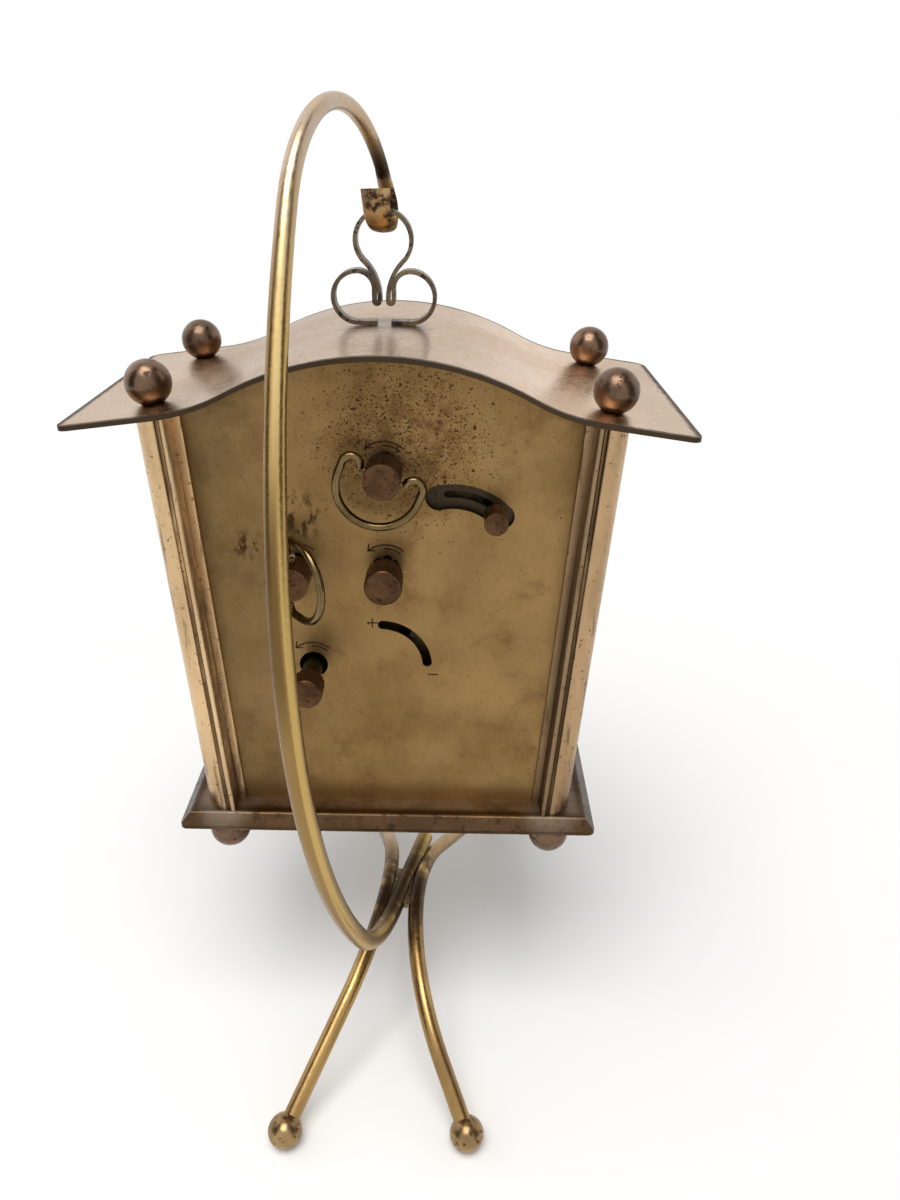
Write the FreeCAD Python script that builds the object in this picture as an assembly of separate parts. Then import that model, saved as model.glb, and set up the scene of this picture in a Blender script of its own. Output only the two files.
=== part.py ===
import FreeCAD, Part
import math
import os

# A lantern-shaped wind-up alarm clock that hangs from a hook stand.
# Millimetres, +Z up, floor at Z 0. The dial faces -Y and the keys and knobs are on +Y.
# Shapes are built around the clock's own upright axis, then moved so that the middle of
# the whole outline stands over the origin.

Vector = FreeCAD.Vector

# Stand: hook rod
HOOK_ROD = 4.0              # below the oval's rearmost point
HOOK_NECK = 2.5             # the rod tapers to this before the tip
HOOK_MIDDLE_Z = 109.1       # height of the oval's rearmost point
HOOK_FOOT_Z = 28.6          # rod's middle where it lies between the legs
HOOK_HALF_DEPTH = 41.9      # rearmost point, behind the top of the oval
HOOK_TOP_RADIUS = 26.0      # bends at the top and the foot of the oval
HOOK_FOOT_RADIUS = 25.0
HOOK_TAIL = 27.0            # straight foot of the rod
HOOK_YAW = 14.5             # hook plane turned about the upright, degrees
HOOK_LEAN = 2.6             # hook plane off the upright, degrees
CURL_TURN = 66.1            # from the top of the oval to the curl, degrees
CURL_RADIUS = 3.8           # middle line of the curled tip
TIP_ROOT = 3.2              # flattened tip: width where it starts and at its end
TIP_WIDTH = 5.8
TIP_THICKNESS = 1.3
TIP_RISE = 3.4              # straight end of the tip above the curl's middle
NECK_ANGLE = 14.0           # where the rod starts to flatten, degrees before the curl

# Stand: legs, feet and solder
LEG_ROD = 3.7
JUNCTION_BACK = 13.0        # where the legs touch the hook, behind the hanging point
SOLDER_GAP = 0.05
LEG_BEND_LEFT = 0.92        # leg's bend, as a share of the largest that fits
LEG_BEND_RIGHT = 0.76
FOOT_BALL = 7.4
FOOT_FLAT = 2.4             # small flat under each ball, so the stand doesn't rock
REAR_FEET_Y = 60.4          # feet, from the clock's axis
FRONT_FEET_Y = 50.0
REAR_FOOT_RIGHT_X = 20.5
REAR_FOOT_LEFT_X = -18.7
FRONT_FOOT_RIGHT_X = 10.0
FRONT_FOOT_LEFT_X = -28.0
SOLDER_LENGTH = 11.0
SOLDER_HEIGHT = 1.8

# Case
BASE_Z = 57.7               # top face of the base plate's rim
BASE_WIDTH = 92.6
BASE_LAP = 2.65             # base plate beyond the posts, front and rear
BASE_CORNER = 1.5
BASE_RISE = 2.4             # raised middle of the base plate, above its rim
BASE_MARGIN = 2.2           # sloping margin between rim and raised middle
BASE_EDGE = 1.0             # softened edge of the raised middle
SHEET = 0.9                 # roof and base sheet
CASE_HALF_BOTTOM = 40.5     # outer half width over the posts, at the base plate's rim
CASE_HALF_TOP = 46.0        # the same at CASE_HEIGHT
CASE_HEIGHT = 93.0
CASE_HALF_DEPTH = 23.5
PANEL = 0.8                 # back, front and side sheets

# Roof, heights above the base plate's rim
ROOF_WIDTH = 114.2
ROOF_LAP = 6.65             # roof beyond the posts, front and rear
ROOF_CORNER = 2.5
EAVE_UP = 91.6
CREST_RISE = 13.3           # crest above the eaves
EAVE_SLOPE = 7.7            # degrees
VALLEY_RADIUS = 37.0
CREST_RADIUS = 57.0

# Corner posts: moulded section, from the outer corner inwards
POST_BAND = 4.4             # quarter-round band
POST_GROOVE = 0.9
POST_GROOVE_DEPTH = 0.45
POST_BEAD = 1.2
POST_BEAD_HEIGHT = 0.35
POST_STRIP = 1.6            # thin strip that laps over the sheet
POST_STRIP_SET = 4.0        # strip's face below the band
POST_STRIP_THICKNESS = 1.0
POST_WALL = 6.2             # inner corner of the section
TIE_ROD = 1.9
TIE_ROD_INSET = 3.6         # tie rod's middle from the post's outer faces
ROOF_BALL = 8.5
BASE_BALL = 9.1
BALL_SEAT = 0.5             # how far a ball beds into the sheet
FIT = 0.05                  # running clearance on a radius

# Suspension loop
LOOP_X = 0.9                # hanging point, from the clock's axis
LOOP_Y = -0.4
HANG_UP = 21.3              # hanging point above the roof's crest
LOOP_WIDTH = 3.0
LOOP_THICKNESS = 0.8
LOOP_DROP = 0.35            # loop's middle line below the middle of the curl
SCROLL_RADIUS = 4.8         # scroll's outer bend
SCROLL_SHOULDER = 3.2       # scroll's tighter bend towards the fold
FOLD_RADIUS = 0.55
FOLD_UP = 4.0               # bottom of the fold above the roof
FOLD_RISE = 0.4             # straight sides of the fold
EYE_RADIUS = 5.35
EYE_GAP = 0.8               # between the eye's two sides at the fold
TAB_GAP = 2.8               # between the ends of the two tabs

# Movement: arbors, X and height above the base plate's rim
CENTRE = (0.0, 60.2)
TIME_KEY = (17.9, 60.2)
ALARM_KEY = (0.0, 81.4)
ALARM_SET = (15.6, 37.7)
THIRD = (-11.5, 50.5)
ESCAPE = (-11.5, 36.0)
BALANCE = (1.2, 37.8)
HAMMER_WHEEL = (-15.0, 72.5)
HAMMER = (-24.5, 71.0)
MINUTE = (6.4, 53.8)
STOP_PIVOT = (-13.4, 62.9)

# Movement: frame
MOVEMENT_SET = 8.4          # movement's front face, behind the front plate's face
MOVEMENT_DEPTH = 21.7       # over both movement plates
MOVEMENT_PLATE = 1.2
PLATE_HALF_WIDTH = 33.0
PLATE_BOTTOM_UP = 24.0
PLATE_TOP_UP = 92.2
PLATE_CHAMFER = 6.0
PILLAR = 4.0
PILLAR_X = 29.0
PILLAR_INSET = 4.5          # pillar's middle from the plates' top and bottom edges
MOVEMENT_POST = 4.4
MOVEMENT_POST_X = 29.0
MOVEMENT_POST_UP = 25.0     # posts above and below the dial's middle

# Movement: front faces of the wheels, behind the movement's front face
GREAT_LEVEL = 2.3
CENTRE_LEVEL = 4.9
THIRD_LEVEL = 9.3
LEVER_LEVEL = 13.3          # escape wheel and pallet lever
HAMMER_LEVEL = 16.1
BALANCE_LEVEL = 16.5
HAIRSPRING_LEVEL = 18.9
ALARM_GREAT_LEVEL = 18.9
TIME_SPRING_LEVEL = 7.1
TIME_SPRING_HEIGHT = 11.0
ALARM_SPRING_LEVEL = 8.5
ALARM_SPRING_HEIGHT = 9.4
LEVEL_GAP = 0.4             # between flat pieces that pass each other
CLEAR = 1.0                 # cutting shapes run this far past a face

# Movement: shafts and gears
KEY_ARBOR = 3.2
CENTRE_ARBOR = 1.8
SET_ARBOR = 2.0
TRAIN_ARBOR = 1.5
STAFF = 1.2
CANNON_PIPE = 2.6
HOUR_PIPE = 3.5
ALARM_PIPE = 4.4
CLICK_STUD = 1.8
CLICK_BOSS = 3.2
CLICK_WIDTH = 1.0
CLICK_STUD_AT = (8.6, -5.0)     # click's stud and nose, from its ratchet's middle
CLICK_NOSE_AT = (5.9, 2.6)
REGULATOR_COLLAR = 3.0
GREAT_TEETH = 40
CENTRE_PINION_TEETH = 8
CENTRE_TEETH = 40
THIRD_PINION_TEETH = 8
THIRD_TEETH = 30
ESCAPE_PINION_TEETH = 6
ESCAPE_TEETH = 15
ESCAPE_RADIUS = 6.5
ESCAPE_DEPTH = 1.6          # pointed teeth: depth, and rake as a share of the pitch
ESCAPE_RAKE = 0.35
CANNON_PINION_TEETH = 8
MINUTE_TEETH = 24
MINUTE_PINION_TEETH = 8
HOUR_TEETH = 32
SET_PINION_TEETH = 10
ALARM_TEETH = 40
ALARM_GREAT_TEETH = 36
HAMMER_PINION_TEETH = 8
HAMMER_TEETH = 10
HAMMER_WHEEL_RADIUS = 5.2
HAMMER_WHEEL_DEPTH = 1.4
HAMMER_WHEEL_RAKE = 0.4
RATCHET_TEETH = 10
RATCHET_RADIUS = 5.5
RATCHET_DEPTH = 1.0
RATCHET_RAKE = 0.25
WHEEL_THICKNESS = 0.8
GREAT_THICKNESS = 1.2
ALARM_GREAT_THICKNESS = 1.0
PINION_LAP = 0.5            # a pinion's leaves beyond its wheel's faces
ADDENDUM = 0.8              # tooth sizes, in modules
DEDENDUM = 1.25
ROOT_SHARE = 0.52           # tooth width at root and tip, as a share of the pitch
TIP_SHARE = 0.20

# Springs
SPRING_STRIP = 0.5
SPRING_INNER = 2.3
SPRING_OUTER = 12.0
SPRING_TURNS = 4
SPRING_STEPS = 16           # straight lengths in one turn
HAIRSPRING_STRIP = 0.3
HAIRSPRING_HEIGHT = 0.8
HAIRSPRING_INNER = 1.0
HAIRSPRING_OUTER = 4.6

# Balance and lever
BALANCE_RADIUS = 8.5
BALANCE_RIM = 1.3
BALANCE_THICKNESS = 1.2
BALANCE_ARM = 1.4
LEVER_BOSS = 2.4
LEVER_FORK = 0.8
FORK_SHARE = 0.6            # fork's end along the line from the stud to the balance
PALLET_ARM = 0.6
LEVER_SHARE = 0.66          # lever's stud along the line from escape wheel to balance
PALLET_RADIUS = 7.35        # pallet pins from the escape wheel's middle
PALLET_ANGLE = 25.0

# Alarm hammer
HAMMER_HEAD = 4.4
HAMMER_HEAD_LENGTH = 5.0
HAMMER_HEAD_SET = 2.0       # head's front face before the arm
HAMMER_HEAD_AT = (-9.0, 11.5)   # head's middle, from the hammer's arbor
HAMMER_ARM = 1.4
HAMMER_PRONG = 0.9
HAMMER_PRONG_TURN = 28.6    # prongs off the line to the hammer wheel, degrees
HAMMER_PRONG_GAP = 0.6

# Keys, knobs and levers on the back
SHAFT_SHARE = 0.6           # a shaft ends this share of the way into its knob
KEY_HOLE = 6.7
SET_HOLE = 6.0
ALARM_KEY_HEAD = 7.1
TIME_KEY_HEAD = 6.8
KEY_HEAD_START = 1.6        # inner face of a key head, outside the back plate
KEY_HEAD_LENGTH = 6.9
KEY_PIVOT = 5.1             # ring's pivot line, outside the back plate
RING_WIRE = 1.6
RING_PIN = 1.0
RING_HALF_WIDTH = 8.8       # outer
RING_REACH = 11.0           # outer, from the pivot line to the far side
RING_GAP = 0.2              # ring's shoulders to the head
TIME_RING_ANGLE = 50.0      # time ring stands off the plate, degrees
ALARM_KEY_REST = 22.0       # alarm ring's pivot line off the level, degrees
KNOB_EDGE = 0.5             # rounded rim of a knob
KNOB_FLUTE = 0.3            # radius of a flute, and its middle outside the knob
KNOB_FLUTE_SET = 0.12
SET_KNOB = 7.4
SET_KNOB_FLUTES = 24
SET_KNOB_START = 3.2
SET_KNOB_LENGTH = 6.0
ALARM_KNOB = 6.5
ALARM_KNOB_FLUTES = 20
ALARM_KNOB_START = 7.4
ALARM_KNOB_LENGTH = 4.8
ALARM_STEM = 4.1
STOP_RADIUS = 13.0
STOP_START = -5.3           # ends of the stop lever's slot, degrees from upright
STOP_END = 38.5
STOP_SLOT = 1.5
STOP_PIN = 1.1
STOP_LEVER = 3.2
STOP_KNOB = 4.6
STOP_KNOB_START = 2.2
STOP_KNOB_LENGTH = 5.0
RECESS_WIDTH = 5.1
RECESS_DEPTH = 1.5
RECESS_LAP = 8.0            # recess beyond the slot's ends, degrees
REGULATOR_RADIUS = 9.65
REGULATOR_START = 2.0
REGULATOR_END = 85.0
REGULATOR_SLOT = 2.0
REGULATOR_FINGER = 1.4
REGULATOR_ARM = 2.0
REGULATOR_RING = 5.8

# Dial side
WINDOW_RADIUS = 26.1
BEZEL_RADIUS = 30.2
BEZEL_HEIGHT = 3.7
BEZEL_LIP = 25.2
BEZEL_RIM = 0.4
CRYSTAL_RADIUS = 26.4
CRYSTAL_THICKNESS = 1.0
CRYSTAL_DOME = 3.2
CRYSTAL_SEAT = 1.1          # crystal's seat in front of the front plate
DIAL_RADIUS = 28.0
DIAL_THICKNESS = 0.5
DIAL_SET = 4.5              # rear face of the dial, before the movement
DIAL_FOOT = 1.6
DIAL_FOOT_RADIUS = 24.0
DIAL_FOOT_ANGLES = (30, 150, 270)
DIAL_HOLE = 5.0
HAND_THICKNESS = 0.3
HAND_GAP = 0.5
HAND_WIDTH = 2.0
HAND_TIP = 0.5
HAND_TAIL = 4.0
HAND_BOSS = 0.9             # boss around the hand's bore
MINUTE_HAND = 22.0
HOUR_HAND = 15.0
ALARM_HAND = 10.0
MINUTE_ANGLE = 54.0         # hands at rest, degrees clockwise from twelve
HOUR_ANGLE = 304.5
ALARM_ANGLE = 180.0

# Values worked out from the sizes above
CASE_LEAN = (CASE_HALF_TOP - CASE_HALF_BOTTOM) / CASE_HEIGHT
CREST_UP = EAVE_UP + CREST_RISE
PLATE_FACE_Y = CASE_HALF_DEPTH - POST_STRIP_SET - POST_STRIP_THICKNESS
PLATE_INSET = POST_WALL + 2 * FIT
CREST_Z = BASE_Z + CREST_UP
FLOOR_Z = BASE_Z + BASE_RISE
BASE_DEPTH = 2 * (CASE_HALF_DEPTH + BASE_LAP)
ROOF_DEPTH = 2 * (CASE_HALF_DEPTH + ROOF_LAP)
TIE_Y = CASE_HALF_DEPTH - TIE_ROD_INSET
FOOT_Z = math.sqrt((FOOT_BALL / 2) ** 2 - (FOOT_FLAT / 2) ** 2)
HANG_Z = CREST_Z + HANG_UP
HOOK_MIDDLE_BACK = (HOOK_TOP_RADIUS - CURL_RADIUS) * math.sin(math.radians(CURL_TURN))
HOOK_TOP_Z = HANG_Z + HOOK_TOP_RADIUS - (HOOK_TOP_RADIUS - CURL_RADIUS) * math.cos(math.radians(CURL_TURN))
LOOP_TOP_Z = HANG_Z - LOOP_DROP
FRONT_PLATE_Y = MOVEMENT_SET - PLATE_FACE_Y
REAR_PLATE_Y = FRONT_PLATE_Y + MOVEMENT_DEPTH
DIAL_Y = FRONT_PLATE_Y - DIAL_SET
GREAT_Y = FRONT_PLATE_Y + GREAT_LEVEL
CENTRE_WHEEL_Y = FRONT_PLATE_Y + CENTRE_LEVEL
THIRD_Y = FRONT_PLATE_Y + THIRD_LEVEL
LEVER_Y = FRONT_PLATE_Y + LEVER_LEVEL
HAMMER_Y = FRONT_PLATE_Y + HAMMER_LEVEL
BALANCE_Y = FRONT_PLATE_Y + BALANCE_LEVEL
HAIRSPRING_Y = FRONT_PLATE_Y + HAIRSPRING_LEVEL
ALARM_GREAT_Y = FRONT_PLATE_Y + ALARM_GREAT_LEVEL
TIME_SPRING_Y = FRONT_PLATE_Y + TIME_SPRING_LEVEL
ALARM_SPRING_Y = FRONT_PLATE_Y + ALARM_SPRING_LEVEL
TRAIN_FRONT_Y = FRONT_PLATE_Y + MOVEMENT_PLATE / 2
TRAIN_REAR_Y = REAR_PLATE_Y - MOVEMENT_PLATE / 2
INNER_FRONT_Y = FRONT_PLATE_Y + MOVEMENT_PLATE
INNER_REAR_Y = REAR_PLATE_Y - MOVEMENT_PLATE
RATCHET_Y = REAR_PLATE_Y + LEVEL_GAP
CANNON_Y = FRONT_PLATE_Y - LEVEL_GAP - WHEEL_THICKNESS
HOUR_Y = CANNON_Y - LEVEL_GAP - WHEEL_THICKNESS
ALARM_Y = HOUR_Y - LEVEL_GAP - WHEEL_THICKNESS
ALARM_HAND_Y = DIAL_Y - DIAL_THICKNESS - HAND_GAP
HOUR_HAND_Y = ALARM_HAND_Y - HAND_THICKNESS - HAND_GAP
MINUTE_HAND_Y = HOUR_HAND_Y - HAND_THICKNESS - HAND_GAP
OUTLINE_MIDDLE_Y = (REAR_FEET_Y - FRONT_FEET_Y) / 2
LEVER_STUD = (ESCAPE[0] + LEVER_SHARE * (BALANCE[0] - ESCAPE[0]),
              ESCAPE[1] + LEVER_SHARE * (BALANCE[1] - ESCAPE[1]))


# Small helpers
def line(a, b):
    return Part.LineSegment(a, b).toShape()


def arc(a, b, c):
    return Part.Arc(a, b, c).toShape()


def face_of(edges):
    return Part.Face(Part.Wire(edges))


def polygon(points):
    return Part.Face(Part.makePolygon(points + [points[0]]))


def rod_y(at, radius, y_start, y_end):
    start = Vector(at[0], y_start, BASE_Z + at[1])
    return Part.makeCylinder(radius, y_end - y_start, start, Vector(0, 1, 0))


def distance(a, b):
    return math.hypot(b[0] - a[0], b[1] - a[1])


def direction(a, b):
    return math.atan2(b[1] - a[1], b[0] - a[0])


def polar(centre, radius, angle):
    return (centre[0] + radius * math.cos(angle), centre[1] + radius * math.sin(angle))


def turned_back(centre, radius, degrees):
    # A point at an angle from upright, clockwise as seen from behind.
    return polar(centre, radius, math.radians(90 + degrees))


def plate_shape(outline, y_start, y_end):
    points = [Vector(x, y_start, BASE_Z + up) for x, up in outline]
    return polygon(points).extrude(Vector(0, y_end - y_start, 0))


def bar(a, b, width, y_start, y_end):
    # A flat bar with round ends.
    along = direction(a, b)
    outline = [polar(a, width / 2, along + math.pi / 2), polar(b, width / 2, along + math.pi / 2),
               polar(b, width / 2, along - math.pi / 2), polar(a, width / 2, along - math.pi / 2)]
    ends = [rod_y(end, width / 2, y_start, y_end) for end in (a, b)]
    return plate_shape(outline, y_start, y_end).multiFuse(ends).removeSplitter()


def arc_slot(centre, radius, start, end, width, y_start, y_end):
    # A curved slot with round ends, drawn as four arcs.
    def at(r, degrees):
        x, up = turned_back(centre, r, degrees)
        return Vector(x, y_start, BASE_Z + up)
    half = width / 2
    middle = (start + end) / 2
    cap = math.degrees(half / radius)
    edges = [arc(at(radius + half, start), at(radius + half, middle), at(radius + half, end)),
             arc(at(radius + half, end), at(radius, end + cap), at(radius - half, end)),
             arc(at(radius - half, end), at(radius - half, middle), at(radius - half, start)),
             arc(at(radius - half, start), at(radius, start - cap), at(radius + half, start))]
    return face_of(edges).extrude(Vector(0, y_end - y_start, 0))


def turned(edges):
    # A solid turned about the line through the dial's middle, along Y.
    return face_of(edges).revolve(Vector(CENTRE[0], 0, BASE_Z + CENTRE[1]), Vector(0, 1, 0), 360)


def turned_point(radius, y):
    return Vector(CENTRE[0] + radius, y, BASE_Z + CENTRE[1])


def bore_y(at, radius, y_start, y_end):
    # A cutting cylinder along Y that runs past both faces.
    return rod_y(at, radius, y_start - CLEAR, y_end + CLEAR)


def rectangle(half_x, half_y, z):
    corners = [Vector(-half_x, -half_y, z), Vector(half_x, -half_y, z),
               Vector(half_x, half_y, z), Vector(-half_x, half_y, z)]
    return Part.makePolygon(corners + corners[:1])


def round_wire(edges, start, heading, diameter):
    # A round wire drawn along a path of lines and arcs.
    section = Part.Wire(Part.Circle(start, heading, diameter / 2).toShape())
    return Part.Wire(edges).makePipeShell([section], True, False)


# Gears
def toothed(teeth, module, at, y_start, y_end, phase):
    pitch = 2 * math.pi / teeth
    tip = teeth * module / 2 + ADDENDUM * module
    root = teeth * module / 2 - DEDENDUM * module
    corners = ((root, -ROOT_SHARE), (tip, -TIP_SHARE), (tip, TIP_SHARE), (root, ROOT_SHARE))
    outline = []
    for index in range(teeth):
        middle = phase + index * pitch
        outline += [polar(at, radius, middle + share * pitch / 2) for radius, share in corners]
    return plate_shape(outline, y_start, y_end)


def module_of(a, b, teeth_a, teeth_b):
    return 2 * distance(a, b) / (teeth_a + teeth_b)


def wheel_in_mesh(at, other, teeth, other_teeth, y_start, y_end):
    # The wheel points a tooth at its partner.
    module = module_of(at, other, teeth, other_teeth)
    return toothed(teeth, module, at, y_start, y_end, direction(at, other))


def pinion_in_mesh(at, other, teeth, other_teeth, y_start, y_end):
    # The pinion points a gap at its partner.
    module = module_of(at, other, teeth, other_teeth)
    return toothed(teeth, module, at, y_start, y_end, direction(at, other) + math.pi / teeth)


def pointed_wheel(teeth, radius, depth, rake, at, y_start, y_end):
    # Sharp raked teeth, as on escape and ratchet wheels.
    pitch = 2 * math.pi / teeth
    outline = []
    for index in range(teeth):
        outline.append(polar(at, radius, index * pitch))
        outline.append(polar(at, radius - depth, (index + rake) * pitch))
    return plate_shape(outline, y_start, y_end)


def spiral_strip(at, inner, outer, thickness, y_start, y_end):
    # A flat spring wound as an even spiral.
    count = SPRING_TURNS * SPRING_STEPS
    radii = [inner + (outer - inner) * index / count for index in range(count + 1)]
    angles = [2 * math.pi * index / SPRING_STEPS for index in range(count + 1)]
    inside = [polar(at, r, a) for r, a in zip(radii, angles)]
    outside = [polar(at, r + thickness, a) for r, a in zip(radii, angles)]
    return plate_shape(inside + outside[::-1], y_start, y_end)


# Stand
def place_hook(shape):
    # From the hook's own plane, X 0, to its place on the stand.
    shape = shape.copy()
    shape.rotate(Vector(0, 0, HANG_Z), Vector(0, 1, 0), HOOK_LEAN)
    shape.rotate(Vector(0, 0, 0), Vector(0, 0, 1), -HOOK_YAW)
    shape.translate(Vector(LOOP_X, LOOP_Y, 0))
    return shape


def place_hook_point(point):
    return place_hook(Part.Vertex(point)).Point


def around(centre, radius, degrees):
    # A point in the hook's own plane, by its angle from straight behind, turning upwards.
    angle = math.radians(degrees)
    return centre + Vector(0, radius * math.cos(angle), radius * math.sin(angle))


def arc_around(centre, radius, start, end):
    return arc(around(centre, radius, start), around(centre, radius, (start + end) / 2),
               around(centre, radius, end))


def oval_side(half_height, bend):
    # The long arc of a quarter oval: its radius, and the angle where the bend takes over.
    wide = HOOK_HALF_DEPTH
    radius = (wide ** 2 + half_height ** 2 - 2 * half_height * bend) / (2 * (wide - bend))
    return radius, math.degrees(math.atan2(half_height - bend, radius - wide))


def hook_section(point, heading, width, thickness):
    # A round or flattened section, its width square to the hook's plane.
    across = Vector(1, 0, 0)
    if width > thickness:
        curve = Part.Ellipse(Vector(), width / 2, thickness / 2)
    else:
        curve = Part.Circle(Vector(), Vector(0, 0, 1), width / 2)
    section = Part.Wire(curve.toShape())
    turn = FreeCAD.Rotation(across, heading.cross(across), heading, "XYZ")
    section.Placement = FreeCAD.Placement(point, turn)
    return section


def hook_rod():
    # Tail, foot bend, long rear arcs and top bend, then the flattened tip.
    top_half = HOOK_TOP_Z - HOOK_MIDDLE_Z
    foot_half = HOOK_MIDDLE_Z - HOOK_FOOT_Z
    upper_radius, upper_angle = oval_side(top_half, HOOK_TOP_RADIUS)
    lower_radius, lower_angle = oval_side(foot_half, HOOK_FOOT_RADIUS)
    rear = HOOK_MIDDLE_BACK + HOOK_HALF_DEPTH
    foot_middle = Vector(0, HOOK_MIDDLE_BACK, HOOK_FOOT_Z + HOOK_FOOT_RADIUS)
    top_middle = Vector(0, HOOK_MIDDLE_BACK, HOOK_TOP_Z - HOOK_TOP_RADIUS)
    lower_middle = Vector(0, rear - lower_radius, HOOK_MIDDLE_Z)
    upper_middle = Vector(0, rear - upper_radius, HOOK_MIDDLE_Z)
    foot = around(foot_middle, HOOK_FOOT_RADIUS, -90)
    tail_end = foot - Vector(0, HOOK_TAIL, 0)
    leave = 90 + CURL_TURN
    neck = leave - NECK_ANGLE
    lower_path = [line(tail_end, foot),
                  arc_around(foot_middle, HOOK_FOOT_RADIUS, -90, -lower_angle),
                  arc_around(lower_middle, lower_radius, -lower_angle, 0)]
    upper_path = [arc_around(upper_middle, upper_radius, 0, upper_angle),
                  arc_around(top_middle, HOOK_TOP_RADIUS, upper_angle, neck)]
    rod = round_wire(lower_path, tail_end, Vector(0, 1, 0), HOOK_ROD)
    curl = Vector(0, 0, HANG_Z)
    tip_foot = around(curl, CURL_RADIUS, 360)
    tip_end = tip_foot + Vector(0, 0, TIP_RISE)
    neck_point = around(top_middle, HOOK_TOP_RADIUS, neck)
    leave_point = around(top_middle, HOOK_TOP_RADIUS, leave)
    neck_heading = around(Vector(), 1, neck + 90)
    leave_heading = around(Vector(), 1, leave + 90)
    flat = hook_section(leave_point, leave_heading, TIP_ROOT, TIP_THICKNESS)
    flat_end = hook_section(tip_end, Vector(0, 0, 1), TIP_WIDTH, TIP_THICKNESS)
    first_round = hook_section(around(upper_middle, upper_radius, 0), Vector(0, 0, 1), HOOK_ROD, HOOK_ROD)
    last_round = hook_section(neck_point, neck_heading, HOOK_NECK, HOOK_NECK)
    tapered = Part.Wire(upper_path).makePipeShell([first_round, last_round], True, False)
    flattened = Part.makeLoft([last_round, flat], True, False)
    curled = Part.Wire([arc_around(curl, CURL_RADIUS, leave, 360), line(tip_foot, tip_end)])
    tip = curled.makePipeShell([flat, flat_end], True, False)
    return place_hook(rod.multiFuse([tapered, flattened, tip]))


def junction_point(side):
    # Middle of a leg where it lies against the hook rod; side is -1 or 1 along X.
    offset = HOOK_ROD / 2 + LEG_ROD / 2 + SOLDER_GAP
    return place_hook_point(Vector(side * offset, JUNCTION_BACK, HOOK_FOOT_Z))


def feet_of(side):
    rear_x = REAR_FOOT_RIGHT_X if side > 0 else REAR_FOOT_LEFT_X
    front_x = FRONT_FOOT_RIGHT_X if side > 0 else FRONT_FOOT_LEFT_X
    return Vector(rear_x, REAR_FEET_Y, FOOT_Z), Vector(front_x, -FRONT_FEET_Y, FOOT_Z)


def leg_solid(side):
    # Two straight lengths and one bend, all in the plane of the two feet and the junction.
    top = junction_point(side)
    rear, front = feet_of(side)
    along = (rear - front).normalize()
    down = (rear - top) - along * (rear - top).dot(along)
    drop = down.Length
    down.normalize()
    nearest = min(abs((foot - top).dot(along)) for foot in (rear, front))
    largest = (nearest ** 2 + drop ** 2) / (2 * drop)
    bend = largest * (LEG_BEND_RIGHT if side > 0 else LEG_BEND_LEFT)
    middle = top + down * bend
    tangents = []
    for foot in (rear, front):
        reach = (foot - top).dot(along)
        span = math.hypot(reach, bend - drop)
        angle = math.atan2(bend - drop, abs(reach)) + math.acos(bend / span)
        sideways = along * math.copysign(math.cos(angle), reach)
        tangents.append(middle + (sideways - down * math.sin(angle)) * bend)
    path = [line(rear, tangents[0]), arc(tangents[0], top, tangents[1]), line(tangents[1], front)]
    return round_wire(path, rear, (tangents[0] - rear).normalize(), LEG_ROD)


def foot_balls():
    balls = []
    span = REAR_FEET_Y + FRONT_FEET_Y
    floor = Part.makeBox(2 * span, 2 * span, FOOT_BALL, Vector(-span, -span, -FOOT_BALL))
    for side in (-1, 1):
        leg = leg_solid(side)
        for foot in feet_of(side):
            balls.append(Part.makeSphere(FOOT_BALL / 2, foot).cut(floor).cut(leg))
    return Part.makeCompound(balls)


def junction_solder(hook, legs):
    # Solder fills the hollows between the three rods.
    width = HOOK_ROD + LEG_ROD + 2 * SOLDER_GAP
    corner = Vector(-width / 2, JUNCTION_BACK - SOLDER_LENGTH / 2, HOOK_FOOT_Z - SOLDER_HEIGHT / 2)
    block = place_hook(Part.makeBox(width, SOLDER_LENGTH, SOLDER_HEIGHT, corner))
    filled = block.cut(hook)
    for leg in legs:
        filled = filled.cut(leg)
    return filled


# Case
def half_width(up):
    return CASE_HALF_BOTTOM + CASE_LEAN * up


def lean_line(side):
    # Direction of a post, which leans outwards with the case's side.
    return Vector(side * CASE_LEAN, 0, 1).normalize()


def rounded_sheet(width, depth, corner, bottom, height):
    box = Part.makeBox(width, depth, height, Vector(-width / 2, -depth / 2, bottom))
    upright = [edge for edge in box.Edges if abs(edge.tangentAt(edge.FirstParameter).z) > 0.5]
    return box.makeFillet(corner, upright)


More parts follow.
